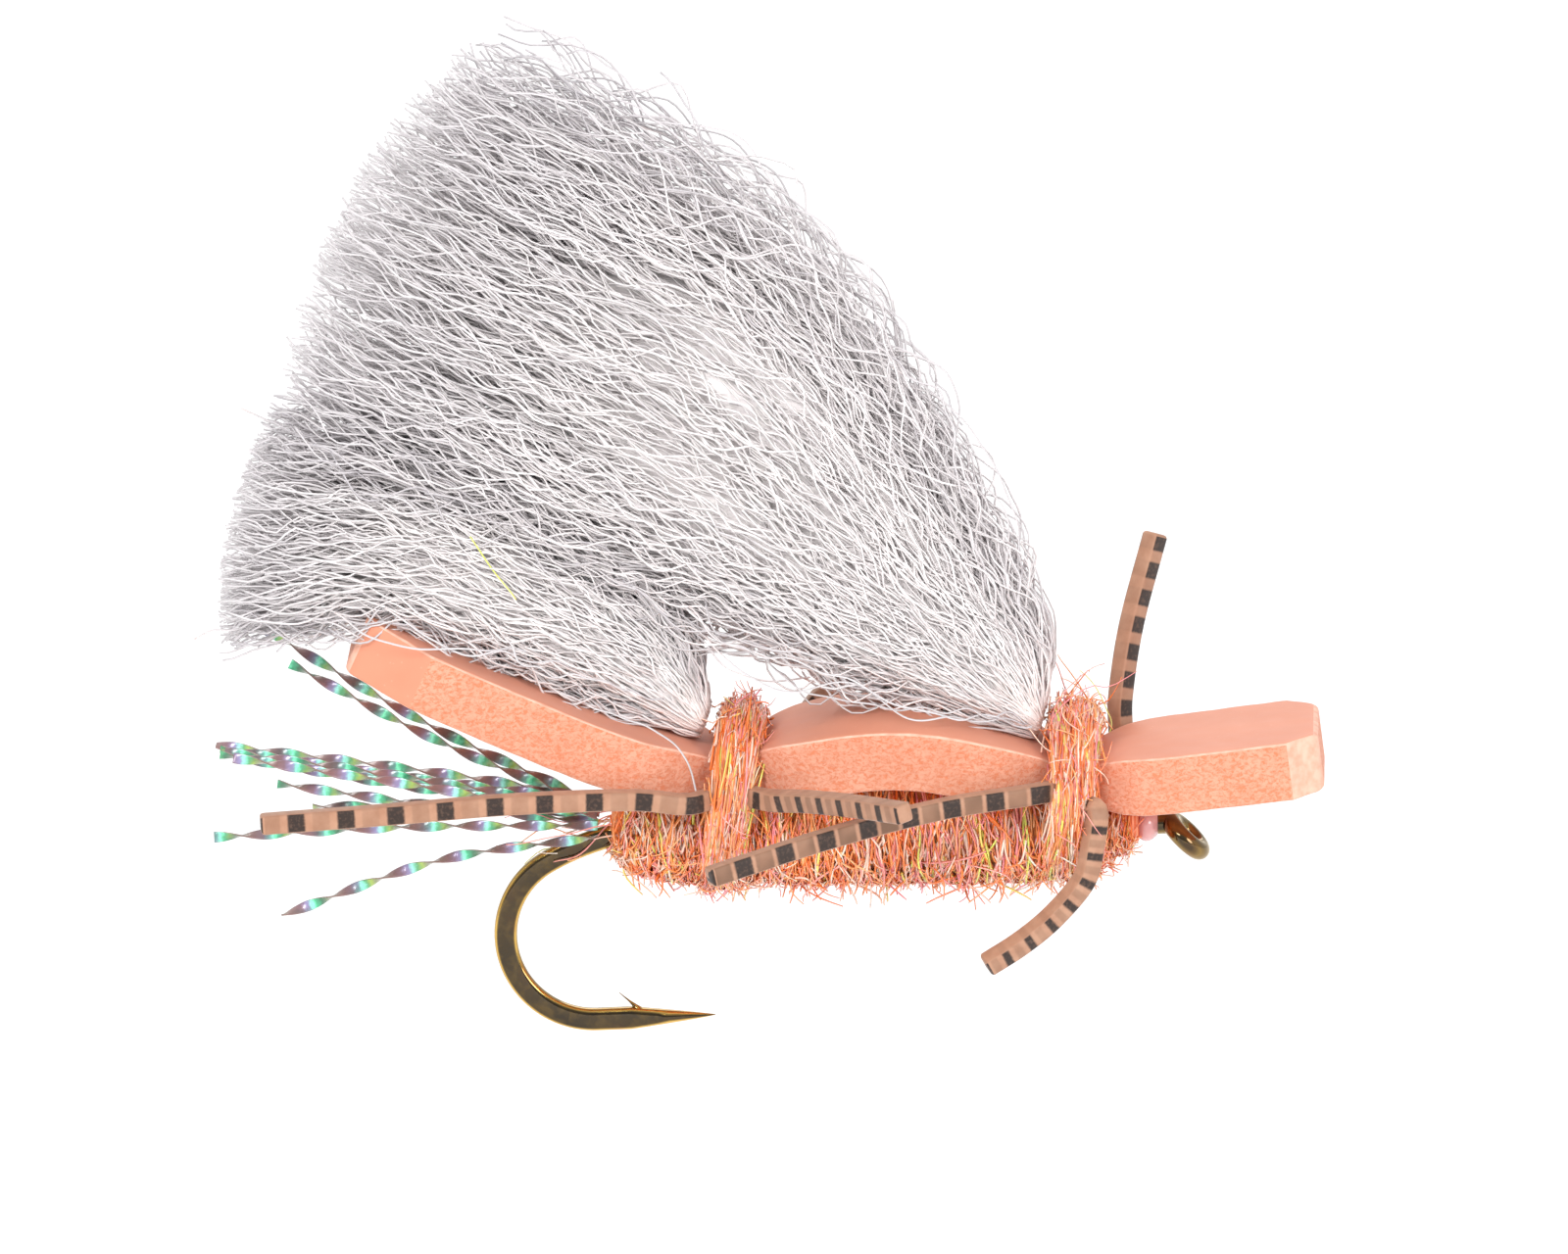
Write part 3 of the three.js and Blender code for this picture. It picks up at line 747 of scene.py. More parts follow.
def full_turn(sides):
    """Angles at even distances round a circle."""
    return 2 * np.pi * np.arange(sides) / sides


def boxy(wave, power):
    """A sine or cosine bent towards a square wave by a power below 1."""
    return np.sign(wave) * np.abs(wave) ** power


def spline(points, share, free_ends=False):
    """Points of a uniform Catmull-Rom spline at each share, 0..1, of the way along its control points."""
    held = np.asarray(points, float)
    first, last = held[0], held[-1]
    if free_ends:
        first, last = 2 * held[0] - held[1], 2 * held[-1] - held[-2]
    ends = np.vstack([first, held, last])
    where = np.clip(share, 0, 1) * (len(held) - 1)
    i = np.minimum(where.astype(int), len(held) - 2)
    t = (where - i)[..., None]
    p0, p1, p2, p3 = ends[i], ends[i + 1], ends[i + 2], ends[i + 3]
    bend = (2 * p0 - 5 * p1 + 4 * p2 - p3) * t**2 + (3 * p1 - p0 - 3 * p2 + p3) * t**3
    return p1 + 0.5 * ((p2 - p0) * t + bend)


def evenly(paths, steps):
    """Each path with steps points at even distances along it, and its length."""
    gaps = np.linalg.norm(np.diff(paths, axis=1), axis=2)
    run = np.concatenate([np.zeros((len(paths), 1)), np.cumsum(gaps, axis=1)], axis=1)
    even = np.empty((len(paths), steps, 3))
    for i, path in enumerate(paths):
        wanted = np.linspace(0, run[i, -1], steps)
        for axis in range(3):
            even[i, :, axis] = np.interp(wanted, run[i], path[:, axis])
    return even, run[:, -1]


def frames_along(paths, sideways=False):
    """Two directions across each path at each of its points, turning as little as they can.

    With sideways, the first is everywhere as near to +Y as it can be.
    """
    tangent = unit(np.gradient(paths, axis=1))
    if sideways:
        left = np.array([0, 1.0, 0])
        normal = unit(left - np.sum(left * tangent, axis=-1, keepdims=True) * tangent)
        return normal, np.cross(tangent, normal)
    helper = np.eye(3)[np.argmin(np.abs(tangent[:, 0]), axis=1)]
    normal = np.empty_like(tangent)
    normal[:, 0] = unit(np.cross(tangent[:, 0], helper))
    for j in range(1, paths.shape[1]):
        leaning = np.sum(normal[:, j - 1] * tangent[:, j], axis=1, keepdims=True)
        normal[:, j] = unit(normal[:, j - 1] - leaning * tangent[:, j])
    return normal, np.cross(tangent, normal)


def rings_round(paths, radii, sides):
    """Round rings on each path: radii is one number for each point of each path."""
    normal, binormal = frames_along(paths)
    turn = full_turn(sides)
    offset = normal[:, :, None] * np.cos(turn)[:, None] + binormal[:, :, None] * np.sin(turn)[:, None]
    return paths[:, :, None] + radii[:, :, None, None] * offset


def skin(rings, ring_closed=False):
    """Faces over rings of shape (strand, station, corner, 3), capped at both ends unless ring_closed."""
    strands, stations, corners, _ = rings.shape
    index = np.arange(strands * stations * corners).reshape(strands, stations, corners)
    if ring_closed:
        here, there = index, np.roll(index, -1, axis=1)
    else:
        here, there = index[:, :-1], index[:, 1:]
    quads = np.stack([here, np.roll(here, -1, axis=2), np.roll(there, -1, axis=2), there], axis=-1)
    faces = [quads.reshape(-1, 4)]
    if not ring_closed:
        faces.append(np.concatenate([index[:, 0, ::-1], index[:, -1]]))
    return rings.reshape(-1, 3), faces


def strand_uv(rings, left, right):
    """Map for skin's quads and caps: strand i fills the column left[i] to right[i], root at the bottom."""
    strands, stations, corners, _ = rings.shape
    u = left[:, None] + (right - left)[:, None] * np.arange(corners + 1) / corners
    v = np.linspace(0, 1, stations)
    quads = np.empty((strands, stations - 1, corners, 4, 2), np.float32)
    quads[..., 0, 0] = quads[..., 3, 0] = u[:, None, :-1]
    quads[..., 1, 0] = quads[..., 2, 0] = u[:, None, 1:]
    quads[..., 0, 1] = quads[..., 1, 1] = v[None, :-1, None]
    quads[..., 2, 1] = quads[..., 3, 1] = v[None, 1:, None]
    caps = np.empty((2 * strands, corners, 2), np.float32)
    caps[:strands, :, 0] = u[:, :-1][:, ::-1]
    caps[strands:, :, 0] = u[:, :-1]
    caps[:strands, :, 1] = 0
    caps[strands:, :, 1] = 1
    return np.concatenate([quads.reshape(-1, 2), caps.reshape(-1, 2)])


def make_object(name, points, faces, materials, uv=None, face_slots=None, sharp=None):
    """A mesh object from points in millimetres and a list of face arrays."""
    mesh = bpy.data.meshes.new(name)
    mesh.vertices.add(len(points))
    mesh.vertices.foreach_set("co", (np.asarray(points) * MM).astype(np.float32).ravel())
    corners = np.concatenate([group.ravel() for group in faces]).astype(np.int32)
    sizes = np.concatenate([np.full(len(group), group.shape[1]) for group in faces])
    mesh.loops.add(len(corners))
    mesh.loops.foreach_set("vertex_index", corners)
    mesh.polygons.add(len(sizes))
    mesh.polygons.foreach_set("loop_start", (np.cumsum(sizes) - sizes).astype(np.int32))
    mesh.polygons.foreach_set("use_smooth", np.ones(len(sizes), bool))
    if face_slots is not None:
        mesh.polygons.foreach_set("material_index", np.asarray(face_slots, np.int32))
    mesh.update(calc_edges=True)
    if uv is not None:
        mesh.uv_layers.new(name=BAKE_MAP).data.foreach_set("uv", uv.astype(np.float32).ravel())
    mesh.validate()
    if sharp is not None:
        mesh.set_sharp_from_angle(angle=math.radians(sharp))
    for material in materials:
        mesh.materials.append(material)
    return placed(name, mesh)


def outward(piece):
    """Turns the faces of a closed mesh outwards."""
    bpy.context.view_layer.objects.active = piece
    piece.select_set(True)
    bpy.ops.object.mode_set(mode="EDIT")
    bpy.ops.mesh.select_all(action="SELECT")
    bpy.ops.mesh.normals_make_consistent(inside=False)
    bpy.ops.object.mode_set(mode="OBJECT")
    piece.select_set(False)


def settle(piece, body, slot, *nodes):
    """The piece rides on the body and stands for the CAD nodes, which it hides. The slot is not used."""
    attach(piece, body)
    if nodes:
        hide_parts(*nodes)


def add_solid(name, rings, material, body, slot, *nodes, ring_closed=False):
    """One closed piece skinned over rings of shape (station, corner, 3)."""
    points, faces = skin(rings[None], ring_closed)
    piece = make_object(name, points, faces, [material])
    outward(piece)
    settle(piece, body, slot, *nodes)


def add_strand(name, rings, material, body, slot, replaced, sharp=None):
    """One piece skinned over rings of shape (station, corner, 3), with a map that runs round and along it."""
    points, faces = skin(rings[None])
    uv = strand_uv(rings[None], np.array([0.0]), np.array([1.0]))
    piece = make_object(name, points, faces, [material], uv=uv, sharp=sharp)
    settle(piece, body, slot, replaced)


def fibre_bundle(name, paths, radii, shades, material, body, slot, *nodes):
    """One piece of many three-sided fibres; shades, 0..1, give each its column in the map."""
    rings = rings_round(paths, radii, 3)
    column = np.minimum((np.clip(shades, 0, 0.999) * SHADE_COLUMNS).astype(int), SHADE_COLUMNS - 1)
    margin = 0.15
    uv = strand_uv(rings, (column + margin) / SHADE_COLUMNS, (column + 1 - margin) / SHADE_COLUMNS)
    points, faces = skin(rings)
    settle(make_object(name, points, faces, [material], uv=uv), body, slot, *nodes)


def rough(points, scale, amount):
    """Smooth noise of the given amount at each point, with features of about 1/scale."""
    return amount * np.array([noise.noise(Vector(p) * scale) for p in points])


def lumpy(rings, out, *waves):
    """The rings pushed along out by waves of smooth noise: (squeeze along x, scale, amount) each."""
    flat = rings.reshape(-1, 3)
    push = sum(rough(flat * np.array([squeezed, 1, 1]), scale, amount) for squeezed, scale, amount in waves)
    return rings + push.reshape(rings.shape[:2])[..., None] * out


# ---------------------------------------------------------------- hook


def hook_stations():
    """Centre, direction angle, radius and half width of the flats along the wire, from eye to point."""
    full = WIRE / 2
    # the straight shank is drawn a trace thinner than the bend
    stations = [(x, SHANK_Z, math.pi, full * 0.985, full) for x in (-0.5, -0.9, -1.6, -3, -6, -9, -12, -15)]
    lead_z = SHANK_Z - LEAD_RADIUS
    for share in np.linspace(0, 1, 15):
        turn = LEAD_TURN * share
        x, z = BEND_START_X - LEAD_RADIUS * math.sin(turn), lead_z + LEAD_RADIUS * math.cos(turn)
        stations.append((x, z, math.pi + turn, full, full + (FORGED_FLAT - full) * share))
    x, z = stations[-1][:2]
    bend_x = x + BEND_RADIUS * math.sin(LEAD_TURN)
    bend_z = z - BEND_RADIUS * math.cos(LEAD_TURN)
    for turn in np.linspace(LEAD_TURN, math.pi + SPEAR_RISE, 73)[1:]:
        x, z = bend_x - BEND_RADIUS * math.sin(turn), bend_z + BEND_RADIUS * math.cos(turn)
        stations.append((x, z, math.pi + turn, full, FORGED_FLAT))
    foot_x, foot_z, foot_angle = stations[-1][:3]
    for along in np.linspace(0, SPEAR, 29)[1:]:
        left = min(1.0, (SPEAR - along + 0.05) / TAPER)
        radius = full * left**0.85
        x, z = foot_x + along * math.cos(SPEAR_RISE), foot_z + along * math.sin(SPEAR_RISE)
        stations.append((x, z, foot_angle, radius, min(FORGED_FLAT, radius)))
    return stations


def flat_oval(radius, flat, sides):
    """A circle whose two sides are pressed in to +-flat, with rounded shoulders."""
    turn = full_turn(sides)
    out = radius * np.cos(turn)
    side = radius * np.sin(turn)
    if flat < radius:
        press = 3.4
        side = side / (1 + np.abs(side / flat) ** press) ** (1 / press)
    return out, side


def hook_wire():
    sides = 48
    rings = []
    for x, z, angle, radius, flat in hook_stations():
        out, side = flat_oval(radius, flat, sides)
        rings.append(np.stack([x - out * math.sin(angle), side, z + out * math.cos(angle)], axis=-1))
    points, faces = skin(np.array(rings)[None])
    return make_object("hook_wire", points, faces, [])


def hook_eye():
    steps, sides = 96, 32
    round_eye = full_turn(steps)
    round_wire = full_turn(sides)
    centre = np.stack([np.cos(round_eye), np.sin(round_eye), 0 * round_eye], axis=-1)
    out = centre[:, None] * np.cos(round_wire)[:, None]
    lift = np.array([0, 0, 1.0]) * np.sin(round_wire)[:, None]
    rings = EYE_RING * centre[:, None] + EYE_WIRE / 2 * (out + lift)
    tilt = Matrix.Rotation(EYE_TILT, 3, "Y")
    rings = rings @ np.array(tilt).T
    points, faces = skin(rings[None], ring_closed=True)
    return make_object("eye_ring", points, faces, [])


def hook_barb():
    """A thin blade sliced up from the spear, leaning back towards the bend."""
    tip_x, tip_z = hook_stations()[-1][:2]
    # edges from the spear up to the barb's tip, from the point of the hook
    front = [(-2.2, 0.1), (-2.4, 0.24), (-2.62, 0.36), (-2.9, 0.54), (-3.25, 0.8)]
    back = [(-2.74, 0.08), (-2.76, 0.22), (-2.85, 0.38), (-3.0, 0.55), (-3.25, 0.8)]
    last = len(front) - 1
    turn = full_turn(12)
    rings = []
    for i, ((fx, fz), (bx, bz)) in enumerate(zip(front, back)):
        half = 0.15 * (1 - i / last) + 0.012
        mid_x, mid_z = tip_x + (fx + bx) / 2, tip_z + (fz + bz) / 2
        wide = max(0.014, math.hypot(fx - bx, fz - bz) / 2)
        lean = math.atan2(fz - bz, fx - bx) if i < last else 0.3
        along = wide * np.cos(turn)
        x, z = mid_x + along * math.cos(lean), mid_z + along * math.sin(lean)
        rings.append(np.stack([x, half * np.sin(turn), z], axis=-1))
    points, faces = skin(np.array(rings)[None])
    return make_object("barb_blade", points, faces, [])


def add_hook(material):
    wire, eye, blade = hook_wire(), hook_eye(), hook_barb()
    for part in (wire, eye, blade):
        outward(part)
    for part in (eye, blade):
        union = wire.modifiers.new("union", "BOOLEAN")
        union.operation = "UNION"
        union.solver = "EXACT"
        union.object = part
    bpy.context.view_layer.update()
    whole = bpy.data.meshes.new_from_object(wire.evaluated_get(bpy.context.evaluated_depsgraph_get()))
    for part in (wire, eye, blade):
        bpy.data.objects.remove(part)
    whole.materials.clear()
    whole.materials.append(material)
    whole.polygons.foreach_set("use_smooth", np.ones(len(whole.polygons), bool))
    whole.set_sharp_from_angle(angle=math.radians(50))
    settle(placed("hook_forged", whole), "fly", "bronze_wire", "hook")


# ---------------------------------------------------------------- foam strip


def foam_z(x):
    """Height of the middle of the foam's thickness along the fly."""
    x = np.asarray(x, float)
    d = np.maximum(REAR_TIE - x, 0)
    rear = REAR_TIE_Z + REAR_SLOPE * (d - REAR_EASE * (1 - np.exp(-d / REAR_EASE)))
    head = FRONT_TIE_Z + HEAD_SLOPE * (x - FRONT_TIE)
    u = np.clip((x - REAR_TIE) / (FRONT_TIE - REAR_TIE), 0, 1)
    middle = REAR_TIE_Z + (FRONT_TIE_Z - REAR_TIE_Z) * u + HUMP * np.sin(np.pi * u) ** 1.2
    return np.where(x < REAR_TIE, rear, np.where(x > FRONT_TIE, head, middle))


def squeeze(x, reach):
    """How hard the ties squeeze the foam at x: 1 at a tie, fading over the given reach."""
    x = np.asarray(x, float)
    return np.exp(-(((x - REAR_TIE) / reach) ** 2)) + np.exp(-(((x - FRONT_TIE) / reach) ** 2))


def foam_half_thick(x):
    return FOAM_THICK / 2 * (1 - 0.4 * squeeze(x, 1.2))


def foam_half_wide(x):
    full = FOAM_WIDE / 2 * (1 - 0.48 * squeeze(x, 1.8))
    rear = REAR_SNIP_HALF + (full - REAR_SNIP_HALF) * np.clip((x - FOAM_REAR_X) / REAR_SNIP, 0, 1)
    head = HEAD_SNIP_HALF + (full - HEAD_SNIP_HALF) * np.clip((FOAM_HEAD_X - x) / HEAD_SNIP, 0, 1)
    return np.minimum(rear, head)


def foam_underside(x):
    return foam_z(x) - foam_half_thick(x)


def add_foam(skin_material, cut_material, edge_highlight_material):
    """The strip with its smooth skins, porous cut sides, snipped corners and squeezed ties."""
    edge = 0.1  # radius of the cut edges
    on_skin, on_side, on_edge = 26, 12, 4
    outline = []  # share across, share through, direction of the edge's round
    for side in (1, -1):
        start = 0 if side == 1 else math.pi
        for t in np.linspace(-1, 1, on_side, endpoint=False):
            outline.append((side, side * t, start))
        for a in np.linspace(0, math.pi / 2, on_edge, endpoint=False):
            outline.append((side, side, start + a))
        for t in np.linspace(1, -1, on_skin, endpoint=False):
            outline.append((side * t, side, start + math.pi / 2))
        for a in np.linspace(0, math.pi / 2, on_edge, endpoint=False):
            outline.append((-side, side, start + math.pi / 2 + a))
    across, through, turn = np.array(outline).T

    rim = 0.3  # the ends are rounded over this length
    inner = np.linspace(FOAM_REAR_X + rim, FOAM_HEAD_X - rim, 260)
    inner = np.sort(np.concatenate([inner, [FOAM_REAR_X + REAR_SNIP, FOAM_HEAD_X - HEAD_SNIP]]))
    bow = rim * (1 - np.cos(np.linspace(0, math.pi / 2, 7)[:-1]))
    stations = np.concatenate([FOAM_REAR_X + bow, inner, FOAM_HEAD_X - bow[::-1]])
    ease = 0.4  # the slope is taken over this much to either side
    rings = []
    for x in stations:
        slope = float(foam_z(x + ease) - foam_z(x - ease)) / (2 * ease)
        normal = unit(np.array([-slope, 0, 1.0]))
        from_end = min(x - FOAM_REAR_X, FOAM_HEAD_X - x)
        inset = 0.0 if from_end >= rim else rim * 0.55 * (1 - math.sqrt(1 - (1 - from_end / rim) ** 2))
        wide = float(foam_half_wide(x)) - inset
        thick = float(foam_half_thick(x)) - inset
        y = across * (wide - edge) + edge * np.cos(turn)
        crown = CROWN * math.exp(-(((x - CROWN_X) / CROWN_REACH) ** 2)) * (1 - (y / wide) ** 2)
        lift = through * (thick - edge) + edge * np.sin(turn) + crown
        middle = np.array([x, 0, float(foam_z(x))])
        ring = middle + normal * lift[:, None]
        ring[:, 1] = y
        rings.append(ring)
    lean = np.stack([0 * across, np.cos(turn), np.sin(turn)], axis=-1)
    rings = lumpy(np.array(rings), lean, (1, 0.35, 0.035), (1, 1.6, 0.02))
    points, faces = skin(rings[None])
    skin_slot, cut_slot, edge_highlight_slot = 0, 1, 2
    sideways = np.abs(np.cos(turn))
    # the rounded cut edges, and below them the snipped head and the rounded ends, take the paler edge
    # material: a painted highlight
    around = np.where(sideways > 0.9, cut_slot, np.where(sideways > 0.05, edge_highlight_slot, skin_slot))
    slots = np.repeat(around[None], len(stations) - 1, axis=0)
    middle_x = (stations[1:] + stations[:-1]) / 2
    for snipped, look in (
        (middle_x < FOAM_REAR_X + REAR_SNIP, skin_slot),
        (middle_x > FOAM_HEAD_X - HEAD_SNIP, edge_highlight_slot),
    ):
        slots = np.where(snipped[:, None] & (slots == cut_slot), look, slots)
    near_end = np.minimum(middle_x - FOAM_REAR_X, FOAM_HEAD_X - middle_x) < rim * 0.5
    slots = np.where(near_end[:, None], edge_highlight_slot, slots)
    slots = np.concatenate([slots.ravel(), [cut_slot, cut_slot]])
    materials = [skin_material, cut_material, edge_highlight_material]
    piece = make_object("foam_body", points, faces, materials, face_slots=slots, sharp=42)
    outward(piece)
    settle(piece, "fly", "foam", "foam_strip")


# ---------------------------------------------------------------- dubbing


def body_radius(x):
    return np.interp(x, BODY_X, BODY_RADIUS)


def on_body(x, turn, lift):
    """A point lift above the dubbed body; turn is the angle about the shank from the left side up."""
    radius = body_radius(x) + lift
    y = radius * np.cos(turn)
    z = SHANK_Z + radius * np.sin(turn)
    return np.stack([x, y, np.minimum(z, foam_underside(x) - UNDER_FOAM)], axis=-1)


def on_collar(collar, x, turn, lift):
    """A point lift above a collar's oval outline, which is narrowest at the sides and spreads below."""
    off = x - collar["x"]
    shoulder = 1 - 0.07 * np.clip(np.abs(off) / collar["half_long"], 0, 1.4) ** 3
    waist = 0.82 + 0.2 * np.sin(turn) ** 2 - 0.1 * np.sin(turn)
    x = collar["x"] + off * waist + collar["lean"] * np.sin(turn)
    y = (COLLAR_HALF_WIDE * shoulder + lift) * np.cos(turn)
    z = COLLAR_Z + (collar["half_high"] * shoulder + lift) * np.sin(turn)
    return np.stack([x, y, z], axis=-1)


def wound_paths(rng, count, steps, surface, low_x, high_x, turns, sweep, lean, lift, flare):
    """Fibres wound round a surface(x, turn, lift), the ends of some of them standing off."""
    t = np.linspace(0, 1, steps)[None]
    start_x = rng.uniform(low_x, high_x, (count, 1))
    middle = rng.uniform(*turns, (count, 1))
    reach = rng.uniform(*sweep, (count, 1)) * rng.choice([-1, 1], (count, 1))
    slant = rng.normal(0, lean, (count, 1))
    x = start_x + slant * (t - 0.5) + 0.08 * np.sin(6 * t + rng.uniform(0, 6, (count, 1)))
    turn = middle + reach * (t - 0.5)
    base = rng.uniform(*lift, (count, 1))
    off = rng.exponential(flare, (count, 1)) * np.clip((t - 0.6) / 0.4, 0, 1) ** 1.6
    wave = 0.05 * np.sin(9 * t + rng.uniform(0, 6, (count, 1)))
    return surface(x, turn, base + off + wave)


def fuzz_paths(rng, count, steps, surface, low_x, high_x, turns, length):
    """Short curled fibres that stand off a surface."""
    t = np.linspace(0, 1, steps)[None]
    start_x = rng.uniform(low_x, high_x, (count, 1))
    middle = rng.uniform(*turns, (count, 1))
    tall = rng.uniform(*length, (count, 1))
    lean_x = rng.normal(0, 0.75, (count, 1)) * tall
    lean_turn = rng.normal(0, 0.4, (count, 1)) * tall
    curl = rng.normal(0, 0.32, (count, 1)) * tall
    x = start_x + lean_x * t + curl * np.sin(3 * t + rng.uniform(0, 6, (count, 1)))
    turn = middle + lean_turn * t**1.5
    return surface(x, turn, tall * t - 0.1)


def fibre_radii(rng, count, steps, thin, thick):
    """A radius for each point of each fibre, drawn to a finer tip."""
    taper = 1 - 0.35 * np.linspace(0, 1, steps) ** 3
    return rng.uniform(thin, thick, (count, 1)) * taper[None]


def streaked_shades(rng, places):
    """Shades that cluster along the fly, as the colours of dubbing do."""
    drift = np.array([noise.noise(Vector((p[0] * 1.1, p[1] * 0.7, p[2] * 0.7))) for p in places])
    return np.clip(rng.beta(1.1, 1.25, len(places)) + 0.25 * drift, 0, 0.999)


def dubbing_bundle(name, rng, paths, material, *nodes, radius, shaded_at):
    """Fibres of dubbing on the body: a range of radii, and the point of each that its shade is taken at."""
    radii = fibre_radii(rng, *paths.shape[:2], *radius)
    shades = streaked_shades(rng, paths[:, shaded_at])
    fibre_bundle(name, paths, radii, shades, material, "fly", "dubbing", *nodes)


def add_abdomen(core, fibre):
    rng = np.random.default_rng(SEED + 1)
    steps, sides = 150, 56
    turn = full_turn(sides)
    xs = np.linspace(BODY_X[0], BODY_X[-1], steps)
    rings = np.array([on_body(np.full(sides, x), turn, np.full(sides, -0.1)) for x in xs])
    out = np.stack([0 * turn, np.cos(turn), np.sin(turn)], axis=-1)
    rings = lumpy(rings, out, (1, 0.9, 0.16), (3, 0.8, 0.12))
    roof = foam_underside(rings[..., 0]) - 0.05
    rings[..., 2] = np.minimum(rings[..., 2], roof)
    add_solid("abdomen_core", rings, core, "fly", "dubbing", "abdomen_dubbing")

    below = (-math.pi - 0.75, 0.75)  # from above the right side, under the belly, to above the left side
    for part in (1, 2):
        paths = wound_paths(
            rng, 1700, 11, on_body, -19.2, -2.7, below,
            sweep=(0.5, 1.7), lean=0.55, lift=(-0.06, 0.22), flare=0.12,
        )
        name = f"abdomen_fibres_{part}"
        dubbing_bundle(name, rng, paths, fibre, "abdomen_dubbing", radius=(0.03, 0.056), shaded_at=5)

    belly = (-math.pi + 0.35, -0.35)
    paths = fuzz_paths(rng, 460, 9, on_body, -19.0, -2.6, belly, (0.1, 1.05))
    dubbing_bundle("abdomen_fuzz", rng, paths, fibre, "abdomen_dubbing", radius=(0.03, 0.052), shaded_at=0)


def add_collar(place, collar, core, fibre, seed):
    """A ring of dubbing over a tie: a packed core, fibres wound round it, fuzz, and the filling inside."""
    rng = np.random.default_rng(seed)
    name = f"{place}_collar_dubbing"
    steps, sides = 120, 28

    surface = partial(on_collar, collar)
    middle, half = collar["x"], collar["half_long"]
    section = full_turn(sides)
    along = half * boxy(np.cos(section), 0.5)
    depth = COLLAR_HALF_WIDE * (1 - COLLAR_INNER)
    lift = depth / 2 * (boxy(np.sin(section), 0.5) - 1)
    turns = full_turn(steps)
    rings = np.array([surface(middle + along, np.full(sides, turn), lift - 0.05) for turn in turns])
    out = unit((rings - np.array([middle, 0, COLLAR_Z])) * np.array([0.2, 1, 1]))
    rings = lumpy(rings, out, (1, 1.1, 0.14), (3, 0.9, 0.1))
    add_solid(f"{place}_collar_core", rings, core, "fly", "dubbing", name, ring_closed=True)

    span = (middle - half, middle + half)
    paths = wound_paths(
        rng, 1500, 14, surface, *span, ALL_ROUND,
        sweep=(0.9, 2.3), lean=0.4, lift=(-0.12, 0.2), flare=0.12,
    )
    dubbing_bundle(f"{place}_collar_fibres", rng, paths, fibre, name, radius=(0.03, 0.054), shaded_at=7)

    span = (middle - half * 0.9, middle + half * 0.9)
    paths = fuzz_paths(rng, 260, 8, surface, *span, ALL_ROUND, (0.2, 1.0))
    dubbing_bundle(f"{place}_collar_fuzz", rng, paths, fibre, name, radius=(0.022, 0.038), shaded_at=0)
    add_collar_filling(place, collar, core, fibre, rng)


def add_collar_filling(place, collar, core, fibre, rng):
    """Dubbing wound inside a collar, domed at both ends, so that it closes round the foam and the yarn."""
    middle, half = collar["x"], collar["half_long"]
    name = f"{place}_collar_dubbing"

    def surface(x, turn, lift):
        drop = np.interp(np.abs(x - middle) / half, [0.5, 0.9, 1.2, 1.42], [0.3, 0.55, 1.25, 2.3])
        return on_collar(collar, x, turn, lift - drop)

    sides = 72
    xs = middle + half * np.linspace(-1.42, 1.42, 24)
    rings = np.array([surface(np.full(sides, x), full_turn(sides), np.full(sides, -0.08)) for x in xs])
    add_solid(f"{place}_collar_filling", rings, core, "fly", "dubbing", name)

    ends = []
    for side in (-1, 1):
        span = sorted((middle + side * 0.8 * half, middle + side * 1.4 * half))
        ends.append(wound_paths(
            rng, 420, 14, surface, *span, ALL_ROUND,
            sweep=(0.8, 2.2), lean=0.3, lift=(-0.08, 0.1), flare=0.08,
        ))
    paths = np.concatenate(ends)
    dubbing_bundle(f"{place}_collar_ends", rng, paths, fibre, name, radius=(0.03, 0.052), shaded_at=7)


def add_loose_dubbing(material):
    """Long fibres that trail from the end of the abdomen, and some that stand up from the front collar."""
    rng = np.random.default_rng(SEED + 7)
    count, steps = 20, 18
    t = np.linspace(0, 1, steps)[None]
    length = rng.uniform(1.0, 5.2, (count, 1))
    heading = [np.full(count, -1.0), rng.normal(0, 0.3, count), rng.normal(-0.14, 0.24, count)]
    heading = unit(np.stack(heading, axis=1))
    start = [np.full(count, -18.7), rng.normal(0, 0.55, count), rng.uniform(-0.3, 1.1, count)]
    start = np.stack(start, axis=1)
    paths = start[:, None] + heading[:, None] * (length * t)[..., None]
    for axis in (1, 2):
        curl = rng.uniform(0.05, 0.28, (count, 1)) * np.sin(length * t * rng.uniform(1.2, 2.6, (count, 1)))
        paths[..., axis] += curl
    dubbing_bundle("trailing_dubbing", rng, paths, material, radius=(0.022, 0.034), shaded_at=4)

    collar = COLLARS["front"]
    span = (collar["x"] - 0.8, collar["x"] + 0.9)
    top = (0.1 * math.pi, 0.95 * math.pi)
    paths = fuzz_paths(rng, 34, 14, partial(on_collar, collar), *span, top, (0.7, 2.1))
    dubbing_bundle("front_collar_wisps", rng, paths, material, radius=(0.02, 0.03), shaded_at=4)


# ---------------------------------------------------------------- head


def turned(xs, radii, sides=64):
    """Rings of the given radii about the shank."""
    turn = full_turn(sides)
    across, up = radii[:, None] * np.cos(turn), SHANK_Z + radii[:, None] * np.sin(turn)
    return np.stack([np.broadcast_to(xs[:, None], across.shape), across, up], axis=-1)


